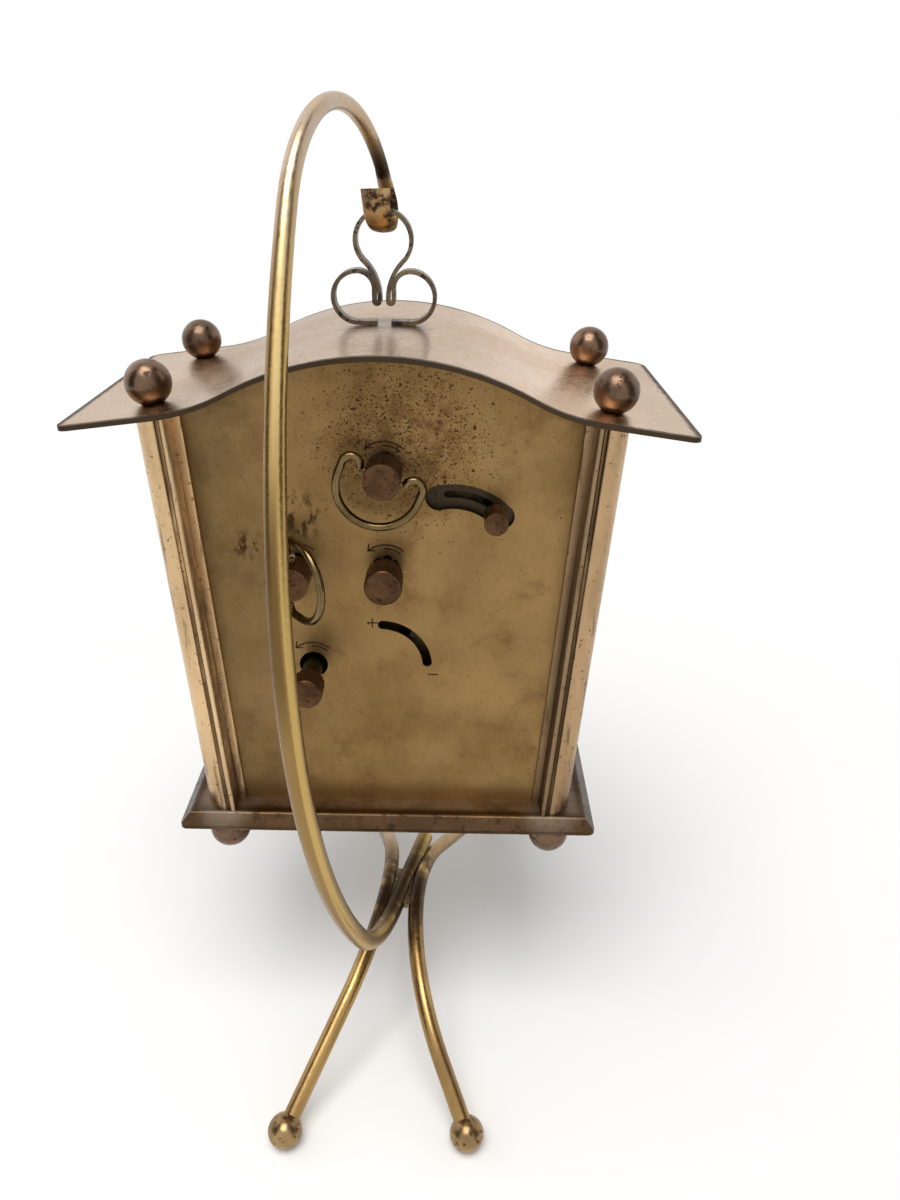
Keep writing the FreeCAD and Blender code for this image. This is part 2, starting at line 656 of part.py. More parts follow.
def roof_curve(drop):
    # The roof's section, eave to eave: straight eaves, hollow bends and one arched crest.
    half = ROOF_WIDTH / 2
    slope = math.radians(EAVE_SLOPE)
    eave = (half, EAVE_UP)
    crest_middle = (0.0, CREST_UP - CREST_RADIUS)
    start = (eave[0] + VALLEY_RADIUS * math.sin(slope), eave[1] + VALLEY_RADIUS * math.cos(slope))
    away = (start[0] - crest_middle[0], start[1] - crest_middle[1])
    lean = -math.cos(slope) * away[0] + math.sin(slope) * away[1]
    reach = away[0] ** 2 + away[1] ** 2 - (CREST_RADIUS + VALLEY_RADIUS) ** 2
    run = -lean - math.sqrt(lean ** 2 - reach)
    valley_middle = (start[0] - run * math.cos(slope), start[1] + run * math.sin(slope))
    eave_end = (half - run * math.cos(slope), EAVE_UP + run * math.sin(slope))
    toward = direction(crest_middle, valley_middle)
    crest_end = polar(crest_middle, CREST_RADIUS, toward)
    bend = (math.pi + toward + direction(valley_middle, eave_end) + 2 * math.pi) / 2
    valley = polar(valley_middle, VALLEY_RADIUS, bend)

    def at(point, side):
        return Vector(side * point[0], 0, BASE_Z + point[1] - drop)
    crest = Vector(0, 0, BASE_Z + CREST_UP - drop)
    return [line(at(eave, -1), at(eave_end, -1)),
            arc(at(eave_end, -1), at(valley, -1), at(crest_end, -1)),
            arc(at(crest_end, -1), crest, at(crest_end, 1)),
            arc(at(crest_end, 1), at(valley, 1), at(eave_end, 1)),
            line(at(eave_end, 1), at(eave, 1))]


def under_roof():
    # Everything between the base plate's raised middle and the roof's underside.
    edges = roof_curve(SHEET)
    left = edges[0].Vertexes[0].Point
    right = edges[-1].Vertexes[-1].Point
    low_left = Vector(left.x, 0, FLOOR_Z)
    low_right = Vector(right.x, 0, FLOOR_Z)
    edges += [line(right, low_right), line(low_right, low_left), line(low_left, left)]
    face = face_of(edges)
    face.translate(Vector(0, -ROOF_DEPTH, 0))
    return face.extrude(Vector(0, 2 * ROOF_DEPTH, 0))


def eave_height(x):
    # The roof's top face over its straight eaves.
    return BASE_Z + EAVE_UP + (ROOF_WIDTH / 2 - abs(x)) * math.tan(math.radians(EAVE_SLOPE))


def tie_rod(side, end, radius, below, above):
    # An upright rod along a post's lean; below and above are heights past the base plate's rim.
    foot = Vector(side * (half_width(-below) - TIE_ROD_INSET), end * TIE_Y, BASE_Z - below)
    axis = lean_line(side)
    return Part.makeCylinder(radius, (below + above) / axis.z, foot, axis)


CORNERS = [(side, end) for side in (-1, 1) for end in (-1, 1)]
TIE_TOP_X = half_width(CASE_HEIGHT) - TIE_ROD_INSET
ROOF_BALL_Z = eave_height(TIE_TOP_X) + ROOF_BALL / 2 / math.cos(math.radians(EAVE_SLOPE)) - BALL_SEAT
BASE_BALL_Z = BASE_Z - SHEET - BASE_BALL / 2 + BALL_SEAT
ROD_ABOVE = ROOF_BALL_Z + ROOF_BALL / 4 - BASE_Z
ROD_BELOW = BASE_Z - BASE_BALL_Z + BASE_BALL / 4


def tie_rods():
    return Part.makeCompound([tie_rod(side, end, TIE_ROD / 2, ROD_BELOW, ROD_ABOVE) for side, end in CORNERS])


def rod_holes(clearance):
    return [tie_rod(side, end, TIE_ROD / 2 + clearance, 2 * ROD_BELOW, 2 * ROD_ABOVE) for side, end in CORNERS]


def roof():
    top = roof_curve(0)
    under = roof_curve(SHEET)
    left = line(top[0].Vertexes[0].Point, under[0].Vertexes[0].Point)
    right = line(top[-1].Vertexes[-1].Point, under[-1].Vertexes[-1].Point)
    face = face_of(Part.__sortEdges__(top + under + [left, right]))
    face.translate(Vector(0, -ROOF_DEPTH / 2, 0))
    sheet = face.extrude(Vector(0, ROOF_DEPTH, 0))
    trim = rounded_sheet(ROOF_WIDTH, ROOF_DEPTH, ROOF_CORNER, BASE_Z, 2 * CREST_UP)
    return sheet.common(trim).cut(rod_holes(FIT))


def base_plate():
    # A thin rim, and margins that slope up to the raised middle where the posts stand.
    half_x, half_y = BASE_WIDTH / 2, BASE_DEPTH / 2
    raised = rectangle(half_x - BASE_MARGIN, half_y - BASE_MARGIN, FLOOR_Z)
    middle = Part.makeLoft([rectangle(half_x, half_y, BASE_Z), raised], True, True)
    upper = [edge for edge in middle.Edges if abs(edge.CenterOfMass.z - FLOOR_Z) < FIT]
    middle = middle.makeFillet(BASE_EDGE, upper)
    outline = rounded_sheet(BASE_WIDTH, BASE_DEPTH, BASE_CORNER, BASE_Z - SHEET, SHEET + BASE_RISE)
    rim = rounded_sheet(BASE_WIDTH, BASE_DEPTH, BASE_CORNER, BASE_Z - SHEET, SHEET)
    return rim.fuse(middle.common(outline)).cut(rod_holes(FIT))


def ball_nuts(diameter, height, seat):
    # Four ball nuts, bedded on a sheet and bored for the tie rods.
    balls = []
    for side, end in CORNERS:
        x = half_width(height - BASE_Z) - TIE_ROD_INSET
        ball = Part.makeSphere(diameter / 2, Vector(side * x, end * TIE_Y, height))
        rod = tie_rod(side, end, TIE_ROD / 2, ROD_BELOW, ROD_ABOVE)
        balls.append(ball.cut(seat).cut(rod))
    return Part.makeCompound(balls)


def post_section(side, end):
    # Moulded section, the same along both faces: band, groove, bead, step and lapping strip.
    band = POST_BAND
    groove_end = band + POST_GROOVE
    bead_end = groove_end + POST_BEAD
    strip_end = bead_end + POST_STRIP
    lap = POST_STRIP_SET + POST_STRIP_THICKNESS
    outer = half_width(0)

    def at(inward, deep, flip):
        x, y = (deep, inward) if flip else (inward, deep)
        return Vector(side * (outer - x), end * (CASE_HALF_DEPTH - y), BASE_Z)

    def one_face(flip):
        return [arc(at(band, 0, flip), at(band + POST_GROOVE / 2, POST_GROOVE_DEPTH, flip),
                    at(groove_end, 0, flip)),
                arc(at(groove_end, 0, flip), at(groove_end + POST_BEAD / 2, -POST_BEAD_HEIGHT, flip),
                    at(bead_end, 0, flip)),
                line(at(bead_end, 0, flip), at(bead_end, POST_STRIP_SET, flip)),
                line(at(bead_end, POST_STRIP_SET, flip), at(strip_end, POST_STRIP_SET, flip)),
                line(at(strip_end, POST_STRIP_SET, flip), at(strip_end, lap, flip)),
                line(at(strip_end, lap, flip), at(POST_WALL, lap, flip)),
                line(at(POST_WALL, lap, flip), at(POST_WALL, POST_WALL, flip))]
    corner = band * (1 - math.sqrt(0.5))
    round_band = arc(at(band, 0, False), at(corner, corner, False), at(band, 0, True))
    return face_of(Part.__sortEdges__(one_face(False) + one_face(True) + [round_band]))


def corner_post(side, end):
    section = post_section(side, end)
    axis = lean_line(side)
    outer_foot = Vector(side * half_width(0), 0, BASE_Z)
    section.rotate(outer_foot, Vector(0, 1, 0), side * math.degrees(math.atan(CASE_LEAN)))
    section.translate(axis * -POST_WALL)
    post = section.extrude(axis * (CREST_UP + 2 * POST_WALL)).common(under_roof())
    return post.cut(tie_rod(side, end, TIE_ROD / 2 + FIT, ROD_BELOW, 2 * CREST_UP))


def side_panel(side):
    outer = half_width(0) - (POST_STRIP_SET + POST_STRIP_THICKNESS) / lean_line(side).z
    edge_y = CASE_HALF_DEPTH - PLATE_INSET
    outline = [(outer, -edge_y), (outer, edge_y), (outer - PANEL, edge_y), (outer - PANEL, -edge_y)]
    face = polygon([Vector(side * x, y, BASE_Z) for x, y in outline])
    panel = face.extrude(Vector(side * CASE_LEAN * CREST_UP, 0, CREST_UP))
    return panel.common(under_roof())


def end_sheet(y_start):
    # The blank of the back and front plates, with its top cut to the roof.
    low = half_width(0) - PLATE_INSET
    high = half_width(CREST_UP) - PLATE_INSET
    outline = [(-low, 0), (low, 0), (high, CREST_UP), (-high, CREST_UP)]
    return plate_shape(outline, y_start, y_start + PANEL).common(under_roof())


def back_plate():
    inner = PLATE_FACE_Y - PANEL
    floor = PLATE_FACE_Y - RECESS_DEPTH
    sheet = end_sheet(inner)
    start, end = STOP_START - RECESS_LAP, STOP_END + RECESS_LAP
    tray = arc_slot(STOP_PIVOT, STOP_RADIUS, start, end, RECESS_WIDTH + 2 * PANEL, floor - PANEL, PLATE_FACE_Y)
    pocket = arc_slot(STOP_PIVOT, STOP_RADIUS, start, end, RECESS_WIDTH, floor, PLATE_FACE_Y + CLEAR)
    through = (floor - 2 * PANEL, PLATE_FACE_Y + CLEAR)
    cuts = [pocket,
            arc_slot(STOP_PIVOT, STOP_RADIUS, STOP_START, STOP_END, STOP_SLOT, *through),
            arc_slot(BALANCE, REGULATOR_RADIUS, REGULATOR_START, REGULATOR_END, REGULATOR_SLOT, *through)]
    for at, hole in ((ALARM_KEY, KEY_HOLE), (TIME_KEY, KEY_HOLE), (CENTRE, SET_HOLE), (ALARM_SET, SET_HOLE)):
        cuts.append(rod_y(at, hole / 2, *through))
    return sheet.fuse(tray).cut(cuts)


def front_plate():
    return end_sheet(-PLATE_FACE_Y).cut(bore_y(CENTRE, WINDOW_RADIUS, -PLATE_FACE_Y, -PLATE_FACE_Y + PANEL))


def ring_piece(centre, radius, start, end):
    # A stretch of bent strip, between two angles in degrees.
    def at(r, degrees):
        x, up = polar(centre, r, math.radians(degrees))
        return Vector(x, LOOP_Y - LOOP_WIDTH / 2, CREST_Z + up)
    inner, outer = radius - LOOP_THICKNESS / 2, radius + LOOP_THICKNESS / 2
    middle = (start + end) / 2
    edges = [arc(at(inner, start), at(inner, middle), at(inner, end)), line(at(inner, end), at(outer, end)),
             arc(at(outer, end), at(outer, middle), at(outer, start)), line(at(outer, start), at(inner, start))]
    return face_of(edges).extrude(Vector(0, LOOP_WIDTH, 0))


def flat_piece(a, b):
    # A straight stretch of strip.
    along = direction(a, b)
    corners = [polar(end, LOOP_THICKNESS / 2, along + turn * math.pi / 2)
               for end, turn in ((a, 1), (b, 1), (b, -1), (a, -1))]
    points = [Vector(x, LOOP_Y - LOOP_WIDTH / 2, CREST_Z + up) for x, up in corners]
    return polygon(points).extrude(Vector(0, LOOP_WIDTH, 0))


def suspension_loop():
    # One bent strip: tab, scroll, fold and half of the eye, then the same mirrored.
    half = LOOP_THICKNESS / 2
    inner_x = (EYE_GAP + LOOP_THICKNESS) / 2
    outer_x = inner_x + 2 * FOLD_RADIUS
    fold_up = FOLD_UP + FOLD_RADIUS
    scroll_x = outer_x + SCROLL_SHOULDER
    shoulder_up = half + 2 * SCROLL_RADIUS - SCROLL_SHOULDER
    eye_up = LOOP_TOP_Z - CREST_Z - EYE_RADIUS
    flare_up = fold_up + FOLD_RISE
    flare = ((eye_up - flare_up) ** 2 + inner_x ** 2 - EYE_RADIUS ** 2) / (2 * (EYE_RADIUS - inner_x))
    flare_at = (inner_x + flare, flare_up)
    flare_end = math.degrees(direction(flare_at, (0, eye_up)))
    pieces = [flat_piece((TAB_GAP / 2, half), (scroll_x, half)),
              ring_piece((scroll_x, half + SCROLL_RADIUS), SCROLL_RADIUS, -90, 90),
              ring_piece((scroll_x, shoulder_up), SCROLL_SHOULDER, 90, 180),
              flat_piece((outer_x, shoulder_up), (outer_x, fold_up)),
              ring_piece((inner_x + FOLD_RADIUS, fold_up), FOLD_RADIUS, 180, 360),
              flat_piece((inner_x, fold_up), (inner_x, flare_up)),
              ring_piece(flare_at, flare, flare_end, 180),
              ring_piece((0, eye_up), EYE_RADIUS, flare_end - 180, 90)]
    mirrored = [piece.mirror(Vector(), Vector(1, 0, 0)) for piece in pieces]
    strip = pieces[0].multiFuse(pieces[1:] + mirrored).removeSplitter()
    strip.translate(Vector(LOOP_X, 0, 0))
    return strip


# Dial side
def bezel():
    face_y = -PLATE_FACE_Y
    seat_y = face_y - CRYSTAL_SEAT
    inner = CRYSTAL_RADIUS + FIT
    points = [turned_point(BEZEL_LIP, DIAL_Y - DIAL_THICKNESS),
              turned_point(WINDOW_RADIUS - FIT, DIAL_Y - DIAL_THICKNESS),
              turned_point(WINDOW_RADIUS - FIT, face_y), turned_point(BEZEL_RADIUS, face_y)]
    shoulder = turned_point((BEZEL_RADIUS + inner) / 2 + BEZEL_HEIGHT / 4, face_y - 0.75 * BEZEL_HEIGHT)
    rim = turned_point(inner + BEZEL_RIM, face_y - BEZEL_HEIGHT)
    inside = [turned_point(inner, face_y - BEZEL_HEIGHT), turned_point(inner, seat_y),
              turned_point(BEZEL_LIP, seat_y)]
    edges = [line(a, b) for a, b in zip(points, points[1:])]
    edges += [arc(points[-1], shoulder, rim), line(rim, inside[0])]
    edges += [line(a, b) for a, b in zip(inside, inside[1:])]
    edges.append(line(inside[-1], points[0]))
    return turned(edges)


def crystal():
    seat_y = -PLATE_FACE_Y - CRYSTAL_SEAT
    edge_y = seat_y - CRYSTAL_THICKNESS
    curve = (CRYSTAL_RADIUS ** 2 + CRYSTAL_DOME ** 2) / (2 * CRYSTAL_DOME)
    half = CRYSTAL_RADIUS / 2
    rise = math.sqrt(curve ** 2 - half ** 2) - (curve - CRYSTAL_DOME)
    outer = [turned_point(CRYSTAL_RADIUS, edge_y), turned_point(half, edge_y - rise),
             turned_point(0, edge_y - CRYSTAL_DOME)]
    inner = [turned_point(0, seat_y - CRYSTAL_DOME), turned_point(half, seat_y - rise),
             turned_point(CRYSTAL_RADIUS, seat_y)]
    edges = [arc(*outer), line(outer[-1], inner[0]), arc(*inner), line(inner[-1], outer[0])]
    return turned(edges)


def dial():
    front = DIAL_Y - DIAL_THICKNESS
    plate = rod_y(CENTRE, DIAL_RADIUS, front, DIAL_Y)
    feet = []
    for degrees in DIAL_FOOT_ANGLES:
        at = polar(CENTRE, DIAL_FOOT_RADIUS, math.radians(degrees))
        feet.append(rod_y(at, DIAL_FOOT / 2, DIAL_Y, FRONT_PLATE_Y))
    return plate.multiFuse(feet).cut(bore_y(CENTRE, DIAL_HOLE / 2, front, DIAL_Y))


def hand(length, bore, degrees, y_start):
    # A tapered hand, clockwise from twelve as seen from the dial.
    along = math.radians(90 - degrees)
    tip = polar(CENTRE, length, along)
    end = polar(CENTRE, HAND_TAIL, along + math.pi)
    side = along + math.pi / 2
    half, point = HAND_WIDTH / 2, HAND_TIP / 2
    outline = [polar(end, half, side), polar(CENTRE, half, side), polar(tip, point, side),
               polar(tip, -point, side), polar(CENTRE, -half, side), polar(end, -half, side)]
    y_end = y_start + HAND_THICKNESS
    blade = plate_shape(outline, y_start, y_end).fuse(rod_y(CENTRE, bore + HAND_BOSS, y_start, y_end))
    return blade.cut(bore_y(CENTRE, bore, y_start, y_end)).removeSplitter()


# Movement frame
ARBORS = [(TIME_KEY, KEY_ARBOR), (ALARM_KEY, KEY_ARBOR), (CENTRE, CENTRE_ARBOR), (ALARM_SET, SET_ARBOR),
          (THIRD, TRAIN_ARBOR), (ESCAPE, TRAIN_ARBOR), (BALANCE, STAFF), (HAMMER_WHEEL, TRAIN_ARBOR),
          (HAMMER, TRAIN_ARBOR)]


def movement_plate(y_start):
    # A plate with cut corners and a running hole for each arbor.
    wide, cut = PLATE_HALF_WIDTH, PLATE_CHAMFER
    low, high = PLATE_BOTTOM_UP, PLATE_TOP_UP
    outline = [(-wide + cut, low), (wide - cut, low), (wide, low + cut), (wide, high - cut),
               (wide - cut, high), (-wide + cut, high), (-wide, high - cut), (-wide, low + cut)]
    plate = plate_shape(outline, y_start, y_start + MOVEMENT_PLATE)
    holes = [bore_y(at, size / 2 + FIT, y_start, y_start + MOVEMENT_PLATE) for at, size in ARBORS]
    return plate.cut(holes)


def front_movement_plate():
    # Carries the pallet lever's stud, and a hole for the minute wheel's pivot.
    plate = movement_plate(FRONT_PLATE_Y)
    plate = plate.cut(bore_y(MINUTE, TRAIN_ARBOR / 2 + FIT, FRONT_PLATE_Y, INNER_FRONT_Y))
    return plate.fuse(rod_y(LEVER_STUD, STAFF / 2, INNER_FRONT_Y, LEVER_Y + WHEEL_THICKNESS + LEVEL_GAP))


def rear_movement_plate():
    # Carries the studs of both clicks and the stop lever, and the regulator's collar.
    plate = movement_plate(REAR_PLATE_Y - MOVEMENT_PLATE)
    studs = [rod_y(click_points(at)[0], CLICK_STUD / 2, REAR_PLATE_Y, RATCHET_Y + WHEEL_THICKNESS)
             for at in (TIME_KEY, ALARM_KEY)]
    studs.append(rod_y(STOP_PIVOT, CLICK_STUD / 2, REAR_PLATE_Y, RATCHET_Y + WHEEL_THICKNESS))
    collar = rod_y(BALANCE, REGULATOR_COLLAR / 2, REAR_PLATE_Y, RATCHET_Y + WHEEL_THICKNESS)
    collar = collar.cut(bore_y(BALANCE, STAFF / 2 + FIT, REAR_PLATE_Y, RATCHET_Y + WHEEL_THICKNESS))
    return plate.multiFuse(studs + [collar])


def movement_pillars():
    pillars = []
    for x in (-PILLAR_X, PILLAR_X):
        for up in (PLATE_BOTTOM_UP + PILLAR_INSET, PLATE_TOP_UP - PILLAR_INSET):
            pillars.append(rod_y((x, up), PILLAR / 2, INNER_FRONT_Y, INNER_REAR_Y))
    return Part.makeCompound(pillars)


def movement_posts():
    # Posts that carry the movement behind the front plate, outside the dial.
    posts = []
    for x in (-MOVEMENT_POST_X, MOVEMENT_POST_X):
        for up in (CENTRE[1] - MOVEMENT_POST_UP, CENTRE[1] + MOVEMENT_POST_UP):
            posts.append(rod_y((x, up), MOVEMENT_POST / 2, -PLATE_FACE_Y + PANEL, FRONT_PLATE_Y))
    return Part.makeCompound(posts)


# Winding
def winding_arbor(at):
    end = PLATE_FACE_Y + KEY_HEAD_START + KEY_HEAD_LENGTH * SHAFT_SHARE
    arbor = rod_y(at, KEY_ARBOR / 2, FRONT_PLATE_Y, end)
    ratchet = pointed_wheel(RATCHET_TEETH, RATCHET_RADIUS, RATCHET_DEPTH, RATCHET_RAKE, at,
                            RATCHET_Y, RATCHET_Y + WHEEL_THICKNESS)
    return arbor.fuse(ratchet)


def key_head(at, diameter, turn):
    # A plain cylinder, bored for its arbor and cross-bored for the ring's pins.
    start = PLATE_FACE_Y + KEY_HEAD_START
    head = rod_y(at, diameter / 2, start, start + KEY_HEAD_LENGTH)
    middle = Vector(at[0], PLATE_FACE_Y + KEY_PIVOT, BASE_Z + at[1])
    across = Vector(math.cos(turn), 0, math.sin(turn))
    bore = Part.makeCylinder(RING_PIN / 2 + FIT, 2 * diameter, middle - across * diameter, across)
    kept = rod_y(at, pin_depth(diameter), start, start + KEY_HEAD_LENGTH)
    return head.cut(bore.cut(kept)).cut(winding_arbor(at))


def pin_depth(diameter):
    # The ring's pins end just outside the arbor.
    return (KEY_ARBOR / 2 + diameter / 2) / 2


def key_ring(at, diameter, turn, raise_angle):
    # A wire ring with two lobes; turn swings its pivot line, raise_angle lifts it off the plate.
    wire = RING_WIRE / 2
    start = diameter / 2 + RING_GAP + wire
    half = RING_HALF_WIDTH - wire
    lobe = (half - start) / 2
    side = RING_REACH - wire - half

    def at_ring(u, v):
        return Vector(u, 0, -v)
    lobes = [arc(at_ring(s * start, 0), at_ring(s * (start + lobe), -lobe), at_ring(s * half, 0))
             for s in (1, -1)]
    sides = [line(at_ring(s * half, 0), at_ring(s * half, side)) for s in (1, -1)]
    bow = arc(at_ring(half, side), at_ring(0, side + half), at_ring(-half, side))
    path = [lobes[0], sides[0], bow, sides[1], lobes[1]]
    ring = round_wire(path, at_ring(start, 0), Vector(0, 0, 1), RING_WIRE)
    reach = start - pin_depth(diameter) - FIT
    pins = [Part.makeCylinder(RING_PIN / 2, reach, at_ring(s * start, 0), Vector(-s, 0, 0)) for s in (1, -1)]
    ring = ring.multiFuse(pins)
    ring.rotate(Vector(), Vector(1, 0, 0), raise_angle)
    ring.rotate(Vector(), Vector(0, 1, 0), -math.degrees(turn))
    ring.translate(Vector(at[0], PLATE_FACE_Y + KEY_PIVOT, BASE_Z + at[1]))
    return ring


def click_points(at):
    # A click's stud and nose, beside its ratchet wheel.
    return [(at[0] + x, at[1] + up) for x, up in (CLICK_STUD_AT, CLICK_NOSE_AT)]


def click(at):
    stud, nose = click_points(at)
    level = (RATCHET_Y, RATCHET_Y + WHEEL_THICKNESS)
    lever = bar(stud, nose, CLICK_WIDTH, *level).fuse(rod_y(stud, CLICK_BOSS / 2, *level))
    return lever.cut(bore_y(stud, CLICK_STUD / 2 + FIT, *level)).removeSplitter()


# Going train
def time_great_wheel():
    level = (GREAT_Y, GREAT_Y + GREAT_THICKNESS)
    wheel = wheel_in_mesh(TIME_KEY, CENTRE, GREAT_TEETH, CENTRE_PINION_TEETH, *level)
    return wheel.cut(bore_y(TIME_KEY, KEY_ARBOR / 2 + FIT, *level))


def centre_wheel():
    start, end = GREAT_Y - PINION_LAP / 2, CENTRE_WHEEL_Y + WHEEL_THICKNESS
    pinion = pinion_in_mesh(CENTRE, TIME_KEY, CENTRE_PINION_TEETH, GREAT_TEETH, start, CENTRE_WHEEL_Y)
    wheel = wheel_in_mesh(CENTRE, THIRD, CENTRE_TEETH, THIRD_PINION_TEETH, CENTRE_WHEEL_Y, end)
    return pinion.fuse(wheel).cut(bore_y(CENTRE, CENTRE_ARBOR / 2 + FIT, start, end))


def third_wheel():
    arbor = rod_y(THIRD, TRAIN_ARBOR / 2, TRAIN_FRONT_Y, TRAIN_REAR_Y)
    pinion = pinion_in_mesh(THIRD, CENTRE, THIRD_PINION_TEETH, CENTRE_TEETH,
                            CENTRE_WHEEL_Y - PINION_LAP, CENTRE_WHEEL_Y + WHEEL_THICKNESS + PINION_LAP)
    wheel = wheel_in_mesh(THIRD, ESCAPE, THIRD_TEETH, ESCAPE_PINION_TEETH, THIRD_Y, THIRD_Y + WHEEL_THICKNESS)
    return arbor.multiFuse([pinion, wheel])


def escape_wheel():
    arbor = rod_y(ESCAPE, TRAIN_ARBOR / 2, TRAIN_FRONT_Y, TRAIN_REAR_Y)
    pinion = pinion_in_mesh(ESCAPE, THIRD, ESCAPE_PINION_TEETH, THIRD_TEETH,
                            THIRD_Y - PINION_LAP, THIRD_Y + WHEEL_THICKNESS + PINION_LAP)
    wheel = pointed_wheel(ESCAPE_TEETH, ESCAPE_RADIUS, ESCAPE_DEPTH, ESCAPE_RAKE, ESCAPE,
                          LEVER_Y, LEVER_Y + WHEEL_THICKNESS)
    return arbor.multiFuse([pinion, wheel])


def pallet_lever():
    # A boss on the front plate's stud, two arms with pins, and a fork towards the balance.
    along = direction(ESCAPE, BALANCE)
    level = (LEVER_Y, LEVER_Y + WHEEL_THICKNESS)
    shape = rod_y(LEVER_STUD, LEVER_BOSS / 2, *level)
    for sign in (-1, 1):
        pin = polar(ESCAPE, PALLET_RADIUS, along + sign * math.radians(PALLET_ANGLE))
        shape = shape.fuse(bar(LEVER_STUD, pin, PALLET_ARM, *level))
    fork = polar(LEVER_STUD, FORK_SHARE * distance(LEVER_STUD, BALANCE), along)
    shape = shape.fuse(bar(LEVER_STUD, fork, LEVER_FORK, *level))
    return shape.cut(bore_y(LEVER_STUD, STAFF / 2 + FIT, *level)).removeSplitter()


def balance_wheel():
    level = (BALANCE_Y, BALANCE_Y + BALANCE_THICKNESS)
    inner = BALANCE_RADIUS - BALANCE_RIM
    rim = rod_y(BALANCE, BALANCE_RADIUS, *level).cut(rod_y(BALANCE, inner, *level))
    arm = bar(polar(BALANCE, -inner, 0), polar(BALANCE, inner, 0), BALANCE_ARM, *level)
    staff = rod_y(BALANCE, STAFF / 2, TRAIN_FRONT_Y, TRAIN_REAR_Y)
    return rim.multiFuse([arm, staff]).removeSplitter()


def hairspring():
    return spiral_strip(BALANCE, HAIRSPRING_INNER, HAIRSPRING_OUTER, HAIRSPRING_STRIP,
                        HAIRSPRING_Y, HAIRSPRING_Y + HAIRSPRING_HEIGHT)


def mainspring(at, y_start, height):
    return spiral_strip(at, SPRING_INNER, SPRING_OUTER, SPRING_STRIP, y_start, y_start + height)


# Motion work and hands
def centre_arbor():
    end = PLATE_FACE_Y + SET_KNOB_START + SET_KNOB_LENGTH * SHAFT_SHARE
    arbor = rod_y(CENTRE, CENTRE_ARBOR / 2, MINUTE_HAND_Y, end)
    level = (CANNON_Y, CANNON_Y + WHEEL_THICKNESS)
    pinion = pinion_in_mesh(CENTRE, MINUTE, CANNON_PINION_TEETH, MINUTE_TEETH, *level)
    pipe = rod_y(CENTRE, CANNON_PIPE / 2, MINUTE_HAND_Y + HAND_THICKNESS, CANNON_Y)
    return arbor.multiFuse([pinion, pipe])


def minute_wheel():
    pivot = rod_y(MINUTE, TRAIN_ARBOR / 2, HOUR_Y, TRAIN_FRONT_Y)
    level = (CANNON_Y, CANNON_Y + WHEEL_THICKNESS)
    wheel = wheel_in_mesh(MINUTE, CENTRE, MINUTE_TEETH, CANNON_PINION_TEETH, *level)
    pinion = pinion_in_mesh(MINUTE, CENTRE, MINUTE_PINION_TEETH, HOUR_TEETH, HOUR_Y, CANNON_Y)
    return pivot.multiFuse([wheel, pinion])


def piped_wheel(wheel, pipe, bore, y_wheel, y_end):
    pipe_solid = rod_y(CENTRE, pipe / 2, y_end, y_wheel)
    return wheel.fuse(pipe_solid).cut(bore_y(CENTRE, bore / 2 + FIT, y_end, y_wheel + WHEEL_THICKNESS))


def hour_wheel():
    wheel = wheel_in_mesh(CENTRE, MINUTE, HOUR_TEETH, MINUTE_PINION_TEETH, HOUR_Y, HOUR_Y + WHEEL_THICKNESS)
    return piped_wheel(wheel, HOUR_PIPE, CANNON_PIPE, HOUR_Y, HOUR_HAND_Y)


def alarm_wheel():
    wheel = wheel_in_mesh(CENTRE, ALARM_SET, ALARM_TEETH, SET_PINION_TEETH, ALARM_Y, ALARM_Y + WHEEL_THICKNESS)
    return piped_wheel(wheel, ALARM_PIPE, HOUR_PIPE, ALARM_Y, ALARM_HAND_Y)


# Alarm side
def alarm_set_arbor():
    knob_y = PLATE_FACE_Y + ALARM_KNOB_START
    arbor = rod_y(ALARM_SET, SET_ARBOR / 2, ALARM_Y, knob_y + ALARM_KNOB_LENGTH * SHAFT_SHARE)
    level = (ALARM_Y, ALARM_Y + WHEEL_THICKNESS)
    pinion = pinion_in_mesh(ALARM_SET, CENTRE, SET_PINION_TEETH, ALARM_TEETH, *level)
    stem = rod_y(ALARM_SET, ALARM_STEM / 2, PLATE_FACE_Y - 4 * PANEL, knob_y)
    return arbor.multiFuse([pinion, stem])


def knob(at, diameter, start, length, flutes, shaft):
    # A knurled knob: a cylinder with shallow flutes and a plain rounded end.
    y_start = PLATE_FACE_Y + start
    y_end = y_start + length
    body = rod_y(at, diameter / 2, y_start, y_end)
    rim = [edge for edge in body.Edges if edge.Closed and abs(edge.CenterOfMass.y - y_end) < FIT]
    body = body.makeFillet(KNOB_EDGE, rim)
    cuts = []
    for index in range(flutes):
        groove = polar(at, diameter / 2 + KNOB_FLUTE_SET, 2 * math.pi * index / flutes)
        cuts.append(rod_y(groove, KNOB_FLUTE, y_start - CLEAR, y_end - KNOB_EDGE))
    return body.cut(cuts + [shaft])


def alarm_great_wheel():
    level = (ALARM_GREAT_Y, ALARM_GREAT_Y + ALARM_GREAT_THICKNESS)
    wheel = wheel_in_mesh(ALARM_KEY, HAMMER_WHEEL, ALARM_GREAT_TEETH, HAMMER_PINION_TEETH, *level)
    return wheel.cut(bore_y(ALARM_KEY, KEY_ARBOR / 2 + FIT, *level))


